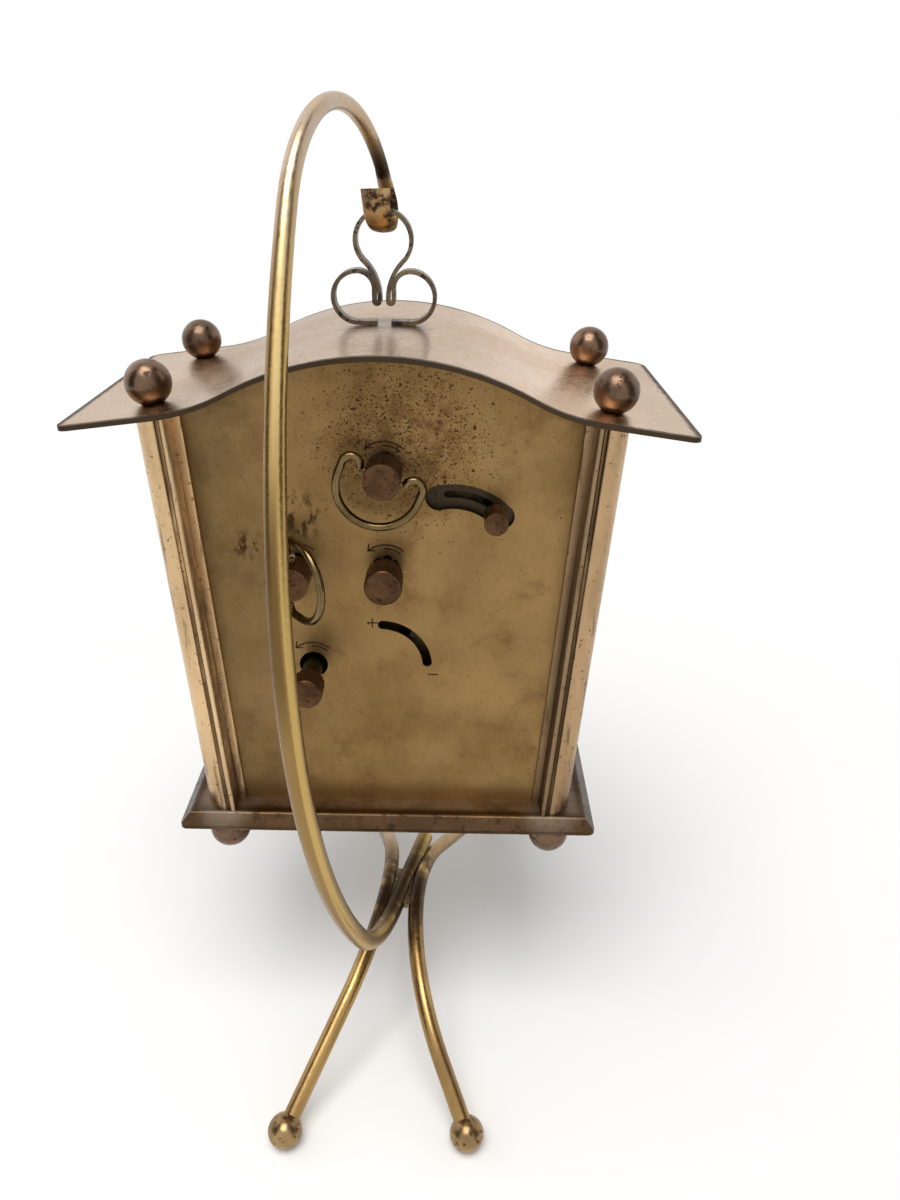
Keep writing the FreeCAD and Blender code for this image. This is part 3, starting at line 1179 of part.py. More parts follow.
def hammer_wheel():
    arbor = rod_y(HAMMER_WHEEL, TRAIN_ARBOR / 2, TRAIN_FRONT_Y, TRAIN_REAR_Y)
    start = ALARM_GREAT_Y - PINION_LAP / 2
    end = ALARM_GREAT_Y + ALARM_GREAT_THICKNESS + PINION_LAP / 2
    pinion = pinion_in_mesh(HAMMER_WHEEL, ALARM_KEY, HAMMER_PINION_TEETH, ALARM_GREAT_TEETH, start, end)
    wheel = pointed_wheel(HAMMER_TEETH, HAMMER_WHEEL_RADIUS, HAMMER_WHEEL_DEPTH, HAMMER_WHEEL_RAKE,
                          HAMMER_WHEEL, HAMMER_Y, HAMMER_Y + WHEEL_THICKNESS)
    return arbor.multiFuse([pinion, wheel])


def alarm_hammer():
    # An arbor with a verge towards the hammer wheel and an arm that ends in the hammer's head.
    level = (HAMMER_Y, HAMMER_Y + WHEEL_THICKNESS)
    arbor = rod_y(HAMMER, TRAIN_ARBOR / 2, TRAIN_FRONT_Y, TRAIN_REAR_Y)
    head_at = (HAMMER[0] + HAMMER_HEAD_AT[0], HAMMER[1] + HAMMER_HEAD_AT[1])
    head_y = HAMMER_Y - HAMMER_HEAD_SET
    head = rod_y(head_at, HAMMER_HEAD / 2, head_y, head_y + HAMMER_HEAD_LENGTH)
    toward = direction(HAMMER, HAMMER_WHEEL)
    turn = math.radians(HAMMER_PRONG_TURN)
    reach = distance(HAMMER, HAMMER_WHEEL) - HAMMER_WHEEL_RADIUS - HAMMER_PRONG_GAP
    prongs = [bar(HAMMER, polar(HAMMER, reach, toward + sign * turn), HAMMER_PRONG, *level) for sign in (-1, 1)]
    return arbor.multiFuse([head, bar(HAMMER, head_at, HAMMER_ARM, *level)] + prongs).removeSplitter()


def stop_lever():
    # A flat lever on the rear plate, with a pin out through the back plate's curved slot.
    pin = turned_back(STOP_PIVOT, STOP_RADIUS, STOP_END)
    level = (RATCHET_Y, RATCHET_Y + WHEEL_THICKNESS)
    lever = bar(STOP_PIVOT, pin, STOP_LEVER, *level).cut(bore_y(STOP_PIVOT, CLICK_STUD / 2 + FIT, *level))
    end = PLATE_FACE_Y + STOP_KNOB_START + STOP_KNOB_LENGTH * SHAFT_SHARE
    return lever.fuse(rod_y(pin, STOP_PIN / 2, RATCHET_Y, end))


def stop_knob():
    pin = turned_back(STOP_PIVOT, STOP_RADIUS, STOP_END)
    start = PLATE_FACE_Y + STOP_KNOB_START
    return rod_y(pin, STOP_KNOB / 2, start, start + STOP_KNOB_LENGTH).cut(stop_lever())


def regulator_lever():
    # A ring around the balance's collar, with an arm and a finger behind the back plate's slot.
    rest = (REGULATOR_START + REGULATOR_END) / 2
    tip = turned_back(BALANCE, REGULATOR_RADIUS, rest)
    level = (RATCHET_Y, RATCHET_Y + WHEEL_THICKNESS)
    lever = bar(BALANCE, tip, REGULATOR_ARM, *level).fuse(rod_y(BALANCE, REGULATOR_RING / 2, *level))
    finger = rod_y(tip, REGULATOR_FINGER / 2, RATCHET_Y, PLATE_FACE_Y - PANEL - LEVEL_GAP)
    lever = lever.cut(bore_y(BALANCE, REGULATOR_COLLAR / 2 + FIT, *level))
    return lever.fuse(finger).removeSplitter()


def stand_parts():
    hook = hook_rod()
    legs = [leg_solid(side).cut(hook) for side in (-1, 1)]
    return {"hook_rod": hook, "leg_rod_left": legs[0], "leg_rod_right": legs[1],
            "stand_ball_feet": foot_balls(), "junction_solder": junction_solder(hook, legs)}


def case_parts():
    roof_sheet = roof()
    base_sheet = base_plate()
    parts = {"roof": roof_sheet, "base_plate": base_sheet, "back_plate": back_plate(),
             "front_plate": front_plate(), "side_panel_left": side_panel(-1), "side_panel_right": side_panel(1),
             "roof_balls": ball_nuts(ROOF_BALL, ROOF_BALL_Z, roof_sheet),
             "base_balls": ball_nuts(BASE_BALL, BASE_BALL_Z, base_sheet),
             "tie_rods": tie_rods(), "suspension_loop": suspension_loop(),
             "bezel": bezel(), "crystal": crystal(), "dial": dial()}
    for side, side_name in ((-1, "left"), (1, "right")):
        for end, end_name in ((-1, "front"), (1, "rear")):
            parts["corner_post_%s_%s" % (end_name, side_name)] = corner_post(side, end)
    return parts


def movement_parts():
    parts = {"front_movement_plate": front_movement_plate(), "rear_movement_plate": rear_movement_plate(),
             "movement_pillars": movement_pillars(), "movement_posts": movement_posts(),
             "time_mainspring": mainspring(TIME_KEY, TIME_SPRING_Y, TIME_SPRING_HEIGHT),
             "alarm_mainspring": mainspring(ALARM_KEY, ALARM_SPRING_Y, ALARM_SPRING_HEIGHT),
             "hairspring": hairspring(),
             "time_great_wheel": time_great_wheel(), "centre_wheel": centre_wheel(),
             "third_wheel": third_wheel(), "escape_wheel": escape_wheel(), "pallet_lever": pallet_lever(),
             "balance_wheel": balance_wheel(), "regulator_lever": regulator_lever(),
             "minute_wheel": minute_wheel(), "hour_wheel": hour_wheel(), "alarm_wheel": alarm_wheel(),
             "alarm_great_wheel": alarm_great_wheel(), "hammer_wheel": hammer_wheel(),
             "alarm_hammer": alarm_hammer()}
    for name, at in (("time", TIME_KEY), ("alarm", ALARM_KEY)):
        parts[name + "_winding_arbor"] = winding_arbor(at)
        parts[name + "_click"] = click(at)
    return parts


def outside_parts():
    shaft = centre_arbor()
    setting = alarm_set_arbor()
    sideways = -math.pi / 2
    aslant = math.radians(ALARM_KEY_REST)
    return {"centre_arbor": shaft, "alarm_set_arbor": setting,
            "hand_set_knob": knob(CENTRE, SET_KNOB, SET_KNOB_START, SET_KNOB_LENGTH, SET_KNOB_FLUTES, shaft),
            "alarm_set_knob": knob(ALARM_SET, ALARM_KNOB, ALARM_KNOB_START, ALARM_KNOB_LENGTH,
                                   ALARM_KNOB_FLUTES, setting),
            "time_key_head": key_head(TIME_KEY, TIME_KEY_HEAD, sideways),
            "time_key_ring": key_ring(TIME_KEY, TIME_KEY_HEAD, sideways, TIME_RING_ANGLE),
            "alarm_key_head": key_head(ALARM_KEY, ALARM_KEY_HEAD, aslant),
            "alarm_key_ring": key_ring(ALARM_KEY, ALARM_KEY_HEAD, aslant, 0),
            "alarm_stop_lever": stop_lever(), "alarm_stop_knob": stop_knob(),
            "minute_hand": hand(MINUTE_HAND, CENTRE_ARBOR / 2, MINUTE_ANGLE, MINUTE_HAND_Y),
            "hour_hand": hand(HOUR_HAND, HOUR_PIPE / 2, HOUR_ANGLE, HOUR_HAND_Y),
            "alarm_hand": hand(ALARM_HAND, ALARM_PIPE / 2, ALARM_ANGLE, ALARM_HAND_Y)}


def main():
    os.makedirs("parts", exist_ok=True)
    parts = {}
    parts.update(stand_parts())
    parts.update(case_parts())
    parts.update(movement_parts())
    parts.update(outside_parts())
    for name, shape in parts.items():
        solid = shape.Solids[0] if len(shape.Solids) == 1 else Part.makeCompound(shape.Solids)
        solid.translate(Vector(0, -OUTLINE_MIDDLE_Y, 0))
        solid.exportStep("parts/%s.step" % name)


if __name__ == "__main__":
    main()
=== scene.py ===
import bmesh
import bpy
import math
from mathutils import Matrix, Vector


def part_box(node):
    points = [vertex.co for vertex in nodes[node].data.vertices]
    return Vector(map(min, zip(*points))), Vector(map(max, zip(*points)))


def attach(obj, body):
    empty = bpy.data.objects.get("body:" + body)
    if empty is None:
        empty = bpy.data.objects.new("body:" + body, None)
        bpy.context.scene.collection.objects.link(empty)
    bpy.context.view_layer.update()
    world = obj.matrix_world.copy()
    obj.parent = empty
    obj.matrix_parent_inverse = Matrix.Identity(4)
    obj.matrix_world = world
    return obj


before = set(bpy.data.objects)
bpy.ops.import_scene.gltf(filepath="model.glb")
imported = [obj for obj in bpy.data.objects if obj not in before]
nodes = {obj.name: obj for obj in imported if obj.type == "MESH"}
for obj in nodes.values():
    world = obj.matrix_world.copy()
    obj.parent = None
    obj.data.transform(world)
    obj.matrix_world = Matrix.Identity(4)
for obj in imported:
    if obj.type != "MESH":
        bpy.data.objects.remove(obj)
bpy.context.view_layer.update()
mm = 0.001
print("frame loaded:", len(nodes), "nodes")


# node helpers

def newSurface(name):
    material = bpy.data.materials.new(name)
    material.use_nodes = True
    tree = material.node_tree
    surface = {"material": material, "tree": tree, "shader": tree.nodes["Principled BSDF"]}
    coords = tree.nodes.new("ShaderNodeTexCoord").outputs["Object"]
    split = tree.nodes.new("ShaderNodeSeparateXYZ")
    tree.links.new(coords, split.inputs[0])
    surface["coords"] = coords
    surface["x"], surface["y"], surface["z"] = split.outputs
    return surface


def feed(surface, socket, value):
    # a socket takes a link or a plain value
    if isinstance(value, bpy.types.NodeSocket):
        surface["tree"].links.new(value, socket)
    elif isinstance(value, (tuple, list)) and len(value) == 3 and len(socket.default_value) == 4:
        socket.default_value = (*value, 1)
    else:
        socket.default_value = value


def calc(surface, operation, a, b=0.0):
    node = surface["tree"].nodes.new("ShaderNodeMath")
    node.operation = operation
    feed(surface, node.inputs[0], a)
    feed(surface, node.inputs[1], b)
    return node.outputs[0]


def times(surface, *factors):
    product = factors[0]
    for factor in factors[1:]:
        product = calc(surface, "MULTIPLY", product, factor)
    return product


def ramp(surface, value, low, high, toLow=0.0, toHigh=1.0):
    node = surface["tree"].nodes.new("ShaderNodeMapRange")
    node.interpolation_type = "SMOOTHSTEP"
    feed(surface, node.inputs["Value"], value)
    feed(surface, node.inputs["From Min"], low)
    feed(surface, node.inputs["From Max"], high)
    feed(surface, node.inputs["To Min"], toLow)
    feed(surface, node.inputs["To Max"], toHigh)
    return node.outputs["Result"]


def noise(surface, scale, detail=4.0, stretch=(1, 1, 1), offset=0.0):
    mapping = surface["tree"].nodes.new("ShaderNodeMapping")
    feed(surface, mapping.inputs["Vector"], surface["coords"])
    mapping.inputs["Scale"].default_value = stretch
    mapping.inputs["Location"].default_value = (offset, offset, offset)
    node = surface["tree"].nodes.new("ShaderNodeTexNoise")
    feed(surface, node.inputs["Vector"], mapping.outputs[0])
    node.inputs["Scale"].default_value = scale
    node.inputs["Detail"].default_value = detail
    node.inputs["Roughness"].default_value = 0.62
    return node.outputs["Fac"]


def blend(surface, factor, a, b):
    node = surface["tree"].nodes.new("ShaderNodeMix")
    node.data_type = "RGBA"
    feed(surface, node.inputs["Factor"], factor)
    feed(surface, node.inputs[6], a)  # the two colours of a mix node
    feed(surface, node.inputs[7], b)
    return node.outputs[2]


def patches(scale, start, full, least=0.0, most=1.0, detail=4.0, stretch=(1, 1, 1), offset=0.0):
    # patches of a noise: they start at one level of it and are full at another
    return {"scale": scale, "start": start, "full": full, "least": least, "most": most,
            "detail": detail, "stretch": stretch, "offset": offset}


def mottle(surface, spots):
    level = noise(surface, spots["scale"], spots["detail"], spots["stretch"], spots["offset"])
    return ramp(surface, level, spots["start"], spots["full"], spots["least"], spots["most"])


def away(surface, value, level):
    return calc(surface, "ABSOLUTE", calc(surface, "SUBTRACT", value, level))


def band(surface, value, line):
    # strong close to one level of a value, nothing beyond far
    return ramp(surface, away(surface, value, line["at"]), line["near"], line["far"], line["most"], 0.0)


def fromPoint(surface, point):
    node = surface["tree"].nodes.new("ShaderNodeVectorMath")
    node.operation = "DISTANCE"
    feed(surface, node.inputs[0], surface["coords"])
    node.inputs[1].default_value = point
    return node.outputs["Value"]


def nearPoint(surface, point, reach):
    # 1 up to the first distance of reach, 0 beyond the second
    near, far = reach
    return ramp(surface, fromPoint(surface, point), near, far, 1.0, 0.0)


def facing(surface, axis):
    # how far a face looks along one of the piece's own axes
    normals = surface["tree"].nodes.new("ShaderNodeTexCoord").outputs["Normal"]
    split = surface["tree"].nodes.new("ShaderNodeSeparateXYZ")
    surface["tree"].links.new(normals, split.inputs[0])
    return split.outputs[axis]


def leaningLine(surface, start, height, lean):
    # a line's distance from the middle, which grows with the height above its start
    above = calc(surface, "SUBTRACT", surface["z"], height)
    return calc(surface, "ADD", start, times(surface, above, lean))


def insideOf(surface, edge):
    return calc(surface, "SUBTRACT", edge, calc(surface, "ABSOLUTE", surface["x"]))


def insideEnds(surface, low, high):
    # distance from the nearer of the two ends in depth
    offMiddle = away(surface, surface["y"], (low[1] + high[1]) / 2)
    return calc(surface, "SUBTRACT", (high[1] - low[1]) / 2, offMiddle)


def middleOf(name):
    low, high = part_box(name)
    return [(a + b) / 2 for a, b in zip(low, high)]


metalGrain = {
    "cloudDetail": 6.0, "stainStart": 0.36, "stainFull": 0.68, "stainDull": 0.08,
    "grainDetail": 3.0, "grainOffset": 3.0, "grainStart": 0.3, "grainFull": 0.7,
    "pitDetail": 2.0, "pitOffset": 7.0, "pitSoft": 0.05, "bumpReach": 0.1 * mm,
}


def brassSurface(name, look):
    # clean metal, cloudy stain and small dark pits
    surface = newSurface(name)
    own = metalGrain
    cloud = noise(surface, look["cloudScale"], own["cloudDetail"], look.get("stretch", (1, 1, 1)))
    brush = look.get("brush", (1, 1, 1))
    grain = noise(surface, look["grainScale"], own["grainDetail"], brush, own["grainOffset"])
    pitted = noise(surface, look["pitScale"], own["pitDetail"], offset=own["pitOffset"])
    stain = ramp(surface, cloud, own["stainStart"], own["stainFull"])
    rough = ramp(surface, grain, own["grainStart"], own["grainFull"], look["smooth"], look["dull"])
    surface["pits"] = ramp(surface, pitted, look["pitStart"], look["pitStart"] + own["pitSoft"])
    surface["colour"] = blend(surface, stain, look["clean"], look["stain"])
    surface["rough"] = calc(surface, "ADD", rough, times(surface, stain, own["stainDull"]))
    surface["height"] = times(surface, grain, look["grainDepth"])
    return surface


def layOver(surface, factor, colour, dullness=0.0, depth=0.0):
    # lay a colour over what is there, duller and deeper where it says so
    surface["colour"] = blend(surface, factor, surface["colour"], colour)
    if dullness:
        surface["rough"] = calc(surface, "ADD", surface["rough"], times(surface, factor, dullness))
    if depth:
        surface["height"] = calc(surface, "SUBTRACT", surface["height"], times(surface, factor, depth))


def finishMetal(surface, bump):
    tree, shader = surface["tree"], surface["shader"]
    shader.inputs["Metallic"].default_value = 1.0
    feed(surface, shader.inputs["Base Color"], surface["colour"])
    feed(surface, shader.inputs["Roughness"], surface["rough"])
    relief = tree.nodes.new("ShaderNodeBump")
    relief.inputs["Strength"].default_value = bump
    relief.inputs["Distance"].default_value = metalGrain["bumpReach"]
    feed(surface, relief.inputs["Height"], surface["height"])
    tree.links.new(relief.outputs[0], shader.inputs["Normal"])
    return surface["material"]


def paint(material, *names):
    for name in names:
        mesh = nodes[name].data
        mesh.materials.clear()
        mesh.materials.append(material)


# finishes of the case

plateLook = {
    "clean": (0.325, 0.202, 0.078), "stain": (0.24, 0.143, 0.053), "pit": (0.042, 0.019, 0.009),
    # the recess tone is painted shade in what lies below the face
    "shade": (0.10, 0.058, 0.022), "smudge": (0.165, 0.085, 0.033), "recess": (0.05, 0.037, 0.026),
    # the grey tone is painted shade over one half of the back plate
    "grey": (0.13, 0.088, 0.043), "shadeHalfFrom": 8 * mm, "shadeHalfTo": 36 * mm, "shadeHalfMost": 0.5,
    "cloudScale": 42, "grainScale": 900, "pitScale": 1100, "pitStart": 0.63,
    "smooth": 0.34, "dull": 0.44, "grainDepth": 0.2, "brush": (1, 1, 0.35), "bump": 0.25,
    "smudges": patches(95, 0.5, 0.72, most=0.6, detail=5.0, offset=5.0),
    "shadeTop": 17 * mm, "topMost": 0.3, "shadeSide": 7 * mm, "sideMost": 0.75, "footShare": 0.84,
    "crowdAt": (-4 * mm, 5 * mm), "crowd": (4 * mm, 30 * mm),
    "specks": ({"scale": 2200, "offset": 11.0, "thin": 0.675, "thick": 0.575},
               {"scale": 1150, "offset": 17.0, "thin": 0.72, "thick": 0.60}),
    "speckDetail": 2.0, "speckStretch": (1, 1, 1.4), "speckSoft": 0.05, "speckMost": 0.92,
    "rusty": (5 * mm, 17 * mm), "rust": patches(420, 0.42, 0.62, most=0.8, detail=5.0, offset=21.0),
    "crust": patches(700, 0.47, 0.6, most=0.85, stretch=(1, 1, 0.5), offset=27.0),
    "crusts": ({"aside": 9.8 * mm, "up": 4.6 * mm, "reach": (1 * mm, 4.5 * mm)},
               {"aside": -1 * mm, "up": 11 * mm, "reach": (2 * mm, 7 * mm)}),
    "sunkFrom": 0.25 * mm, "sunkTo": 0.05 * mm, "sunkMost": 0.94,
}


def panelSurface(name):
    look = plateLook
    surface = brassSurface(name, look)
    layOver(surface, mottle(surface, look["smudges"]), look["smudge"], dullness=0.08)
    return surface


def panelFinish():
    return finishMetal(panelSurface("casePanelBrass"), plateLook["bump"])


def plateFinish():
    look = plateLook
    surface = panelSurface("backPlateBrass")
    low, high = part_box("back_plate")
    # painted shade below the roof, painted shade over one half, painted shade along the posts
    shade = ramp(surface, surface["z"], high[2] - look["shadeTop"], high[2], 0.0, look["topMost"])
    layOver(surface, shade, look["shade"])
    paintedShadeHalf = ramp(surface, surface["x"], look["shadeHalfFrom"], look["shadeHalfTo"], 0.0, look["shadeHalfMost"])
    layOver(surface, paintedShadeHalf, look["grey"])
    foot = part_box("base_plate")[1][0] * look["footShare"]
    lean = (high[0] - foot) / (high[2] - low[2])
    inside = insideOf(surface, leaningLine(surface, high[0], high[2], lean))
    layOver(surface, ramp(surface, inside, 0.0, look["shadeSide"], look["sideMost"], 0.0), look["shade"])
    # pits crowd around the alarm key and thin out from there
    key = middleOf("alarm_key_head")
    crowdPoint = (key[0] + look["crowdAt"][0], high[1], key[2] + look["crowdAt"][1])
    around = nearPoint(surface, crowdPoint, look["crowd"])
    for speck in look["specks"]:
        level = ramp(surface, around, 0.0, 1.0, speck["thin"], speck["thick"])
        dots = noise(surface, speck["scale"], look["speckDetail"], look["speckStretch"], speck["offset"])
        over = calc(surface, "SUBTRACT", dots, level)
        pits = ramp(surface, over, 0.0, look["speckSoft"], 0.0, look["speckMost"])
        layOver(surface, pits, look["pit"], dullness=0.2, depth=0.4)
    rust = times(surface, nearPoint(surface, crowdPoint, look["rusty"]), mottle(surface, look["rust"]))
    layOver(surface, rust, look["smudge"], dullness=0.1)
    # crusts beside and above the winding key
    winder = middleOf("time_key_head")
    crust = mottle(surface, look["crust"])
    for spot in look["crusts"]:
        place = (winder[0] + spot["aside"], high[1], winder[2] + spot["up"])
        crusted = times(surface, nearPoint(surface, place, spot["reach"]), crust)
        layOver(surface, crusted, look["pit"], dullness=0.2)
    # painted shade: what lies below the face is darkened
    paintedRecessShade = ramp(surface, surface["y"], high[1] - look["sunkFrom"], high[1] - look["sunkTo"],
                look["sunkMost"], 0.0)
    layOver(surface, paintedRecessShade, look["recess"], dullness=0.1)
    return finishMetal(surface, look["bump"])


roofLook = {
    "clean": (0.72, 0.51, 0.335), "stain": (0.64, 0.435, 0.265), "edge": (0.045, 0.03, 0.018),
    # the brown tone is painted shade on one slope
    "paintedShadeBrown": (0.33, 0.215, 0.12), "eave": (0.47, 0.34, 0.22), "crest": (0.42, 0.28, 0.165),
    "greyAroundLoop": (0.20, 0.165, 0.135), "cloudScale": 38, "grainScale": 700, "pitScale": 900, "pitStart": 0.68,
    "smooth": 0.2, "dull": 0.3, "grainDepth": 0.12, "bump": 0.12, "pitMost": 0.4,
    "swayScale": 40, "swayOffset": 13.0, "sway": 14 * mm,
    "shadeBrownFrom": 2 * mm, "shadeBrownTo": 22 * mm, "shadeBrownMost": 0.75,
    "fadeFrom": 44 * mm, "fadeTo": 56 * mm, "fadeLeast": 0.15,
    "crestNear": 4 * mm, "crestFar": 24 * mm, "crestMost": 0.75,
    "eaveNear": 6 * mm, "eaveFar": 18 * mm, "eaveMost": 0.7,
    "edgeWidth": 1.1 * mm, "edgeScale": 300, "edgeMost": 0.96, "loopReach": (3 * mm, 12 * mm),
    "loopPatches": patches(160, 0.3, 0.6, least=0.15, most=0.75, stretch=(0.5, 1, 1), offset=19.0),
}


def roofFinish():
    look = roofLook
    surface = brassSurface("roofBrass", look)
    low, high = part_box("roof")
    # painted shade on one slope, which is darker brown; crest and eaves are darker and duller
    waver = times(surface, noise(surface, look["swayScale"], offset=look["swayOffset"]), look["sway"])
    across = calc(surface, "ADD", surface["x"], waver)
    paintedShadeBrown = ramp(surface, across, look["shadeBrownFrom"], look["shadeBrownTo"], 0.0, look["shadeBrownMost"])
    fading = ramp(surface, across, look["fadeFrom"], look["fadeTo"], 1.0, look["fadeLeast"])
    layOver(surface, times(surface, paintedShadeBrown, fading), look["paintedShadeBrown"], dullness=0.04)
    fromCrest = calc(surface, "ABSOLUTE", across)
    crest = ramp(surface, fromCrest, look["crestNear"], look["crestFar"], look["crestMost"], 0.0)
    layOver(surface, crest, look["crest"], dullness=0.03)
    fromSide = insideOf(surface, high[0])
    eave = ramp(surface, fromSide, look["eaveNear"], look["eaveFar"], look["eaveMost"], 0.0)
    layOver(surface, eave, look["eave"], dullness=0.06)
    # the rim is dark, with an uneven border
    edge = calc(surface, "MINIMUM", fromSide, insideEnds(surface, low, high))
    wander = times(surface, noise(surface, look["edgeScale"]), look["edgeWidth"])
    fromRim = calc(surface, "SUBTRACT", edge, wander)
    rim = ramp(surface, fromRim, 0.0, look["edgeWidth"], look["edgeMost"], 0.0)
    layOver(surface, rim, look["edge"], dullness=0.2)
    layOver(surface, times(surface, surface["pits"], look["pitMost"]), look["edge"], dullness=0.2)
    # mottled grey darkening around the loop's ends
    seat = middleOf("suspension_loop")
    seat[2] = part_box("suspension_loop")[0][2]
    greyAroundLoop = times(surface, nearPoint(surface, seat, look["loopReach"]), mottle(surface, look["loopPatches"]))
    layOver(surface, greyAroundLoop, look["greyAroundLoop"], dullness=0.1)
    return finishMetal(surface, look["bump"])


baseLook = {
    "clean": (0.074, 0.042, 0.021), "stain": (0.048, 0.027, 0.014), "spot": (0.026, 0.015, 0.009),
    "bright": (0.26, 0.165, 0.075), "topSheen": (0.27, 0.205, 0.145), "footSheen": (0.21, 0.165, 0.12),
    "cloudScale": 60, "grainScale": 600, "pitScale": 500, "pitStart": 0.6, "pitMost": 0.7,
    "smooth": 0.2, "dull": 0.32, "grainDepth": 0.2, "bump": 0.25,
    "sheenMottle": patches(110, 0.3, 0.62, least=0.35, most=0.9, offset=15.0),
    "topFrom": 3 * mm, "topTo": 5 * mm,
    "footMiddle": 4 * mm, "footSheenNear": 4 * mm, "footSheenFar": 9 * mm, "footSheenMost": 0.65,
    "worn": patches(130, 0.42, 0.64, least=0.1, most=0.8, offset=9.0),
    "rimIn": (0.1 * mm, 0.5 * mm), "rimUp": (0.05 * mm, 0.35 * mm),
}


def baseFinish():
    look = baseLook
    surface = brassSurface("baseBrass", look)
    layOver(surface, times(surface, surface["pits"], look["pitMost"]), look["spot"], dullness=0.15)
    low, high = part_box("base_plate")
    edge = calc(surface, "MINIMUM", insideOf(surface, high[0]), insideEnds(surface, low, high))
    # painted sheen: the top face is lighter, mottled
    sheenMottle = mottle(surface, look["sheenMottle"])
    top = ramp(surface, edge, look["topFrom"], look["topTo"])
    layOver(surface, times(surface, top, sheenMottle), look["topSheen"], dullness=0.2)
    # painted highlight, mottled, around the posts' feet
    postLow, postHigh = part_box("corner_post_rear_right")
    middleY = (low[1] + high[1]) / 2
    footY = postHigh[1] - look["footMiddle"] - middleY
    dx = calc(surface, "SUBTRACT", calc(surface, "ABSOLUTE", surface["x"]), postLow[0] + look["footMiddle"])
    dy = calc(surface, "SUBTRACT", away(surface, surface["y"], middleY), footY)
    fromFoot = calc(surface, "SQRT", calc(surface, "ADD", times(surface, dx, dx), times(surface, dy, dy)))
    footSheen = ramp(surface, fromFoot, look["footSheenNear"], look["footSheenFar"], look["footSheenMost"], 0.0)
    layOver(surface, times(surface, footSheen, sheenMottle), look["footSheen"], dullness=0.2)
    # the lower edge is rubbed
    outermost = ramp(surface, edge, *look["rimIn"], 1.0, 0.0)
    lowest = ramp(surface, calc(surface, "SUBTRACT", surface["z"], low[2]), *look["rimUp"], 1.0, 0.0)
    layOver(surface, times(surface, outermost, lowest, mottle(surface, look["worn"])), look["bright"])
    return finishMetal(surface, look["bump"])


postLook = {
    "clean": (0.74, 0.52, 0.285), "stain": (0.58, 0.39, 0.205), "dirt": (0.055, 0.032, 0.018),
    "paintedShadeBrown": (0.34, 0.21, 0.11), "shade": (0.12, 0.08, 0.042), "foot": (0.17, 0.10, 0.055),
    "cloudScale": 60, "grainScale": 700, "pitScale": 900, "pitStart": 0.64, "stretch": (1, 1, 0.35),
    "smooth": 0.2, "dull": 0.32, "grainDepth": 0.15, "bump": 0.2, "pitMost": 0.6,
    "section": 8.1 * mm, "sideHalf": 20 * mm, "shadeFrom": 4.1 * mm, "shadeTo": 5.0 * mm, "shadeMost": 0.5,
    "brownish": patches(120, 0.3, 0.7, least=0.45, most=0.9, detail=5.0, stretch=(1, 1, 0.2), offset=12.0),
    "footUp": 26 * mm, "footMost": 0.75,
    "grooves": ({"at": 4.85 * mm, "near": 0.15 * mm, "far": 0.5 * mm, "most": 0.85},
                {"at": 6.55 * mm, "near": 0.09 * mm, "far": 0.3 * mm, "most": 0.75}),
    "streaks": patches(180, 0.34, 0.56, least=0.35, detail=5.0, stretch=(1, 1, 0.16), offset=2.0),
    "scuffs": patches(520, 0.56, 0.68, most=0.55, detail=5.0, stretch=(1, 1, 0.12), offset=8.0),
}


def postFinish():
    look = postLook
    surface = brassSurface("postBrass", look)
    low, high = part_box("corner_post_rear_right")
    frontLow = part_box("corner_post_front_right")[0]
    foot = low[0] + look["section"]
    lean = (high[0] - foot) / (high[2] - low[2])
    fromSide = insideOf(surface, leaningLine(surface, foot, low[2], lean))
    deep = calc(surface, "MAXIMUM", insideEnds(surface, frontLow, high), fromSide)
    # painted shade: the posts of one side are darker brown and darker on their inner faces, and all are dark
    # at the foot
    oneSide = ramp(surface, surface["x"], -look["sideHalf"], look["sideHalf"], 1.0, 0.0)
    brownish = mottle(surface, look["brownish"])
    layOver(surface, times(surface, oneSide, brownish), look["paintedShadeBrown"], dullness=0.05)
    inner = ramp(surface, deep, look["shadeFrom"], look["shadeTo"], 0.0, look["shadeMost"])
    layOver(surface, times(surface, inner, oneSide), look["shade"], dullness=0.05)
    dim = ramp(surface, surface["z"], low[2], low[2] + look["footUp"], look["footMost"], 0.0)
    layOver(surface, times(surface, dim, brownish), look["foot"], dullness=0.08)
    # dirt in the grooves, scuffs along the post
    streaks = mottle(surface, look["streaks"])
    for groove in look["grooves"]:
        layOver(surface, times(surface, band(surface, deep, groove), streaks), look["dirt"], dullness=0.25)
    layOver(surface, mottle(surface, look["scuffs"]), look["dirt"], dullness=0.1)
    layOver(surface, times(surface, surface["pits"], look["pitMost"]), look["dirt"], dullness=0.2)
    return finishMetal(surface, look["bump"])


tarnish = {"pitMost": 0.8, "dullness": 0.2, "depth": 0.3, "bump": 0.3}


def tarnishedFinish(name, look):
    surface = brassSurface(name, look)
    spots = times(surface, surface["pits"], tarnish["pitMost"])
    layOver(surface, spots, look["spot"], tarnish["dullness"], tarnish["depth"])
    return finishMetal(surface, tarnish["bump"])


ballLook = {
    "clean": (0.19, 0.118, 0.077), "stain": (0.105, 0.066, 0.044), "spot": (0.05, 0.031, 0.021),
    "cloudScale": 150, "grainScale": 900, "pitScale": 420, "pitStart": 0.64,
    "smooth": 0.2, "dull": 0.32, "grainDepth": 0.3,
}

knobLook = {
    "clean": (0.125, 0.064, 0.031), "stain": (0.07, 0.036, 0.018), "spot": (0.03, 0.016, 0.01),
    "cloudScale": 260, "grainScale": 1500, "pitScale": 1400, "pitStart": 0.6,
    "smooth": 0.3, "dull": 0.44, "grainDepth": 0.35,
}

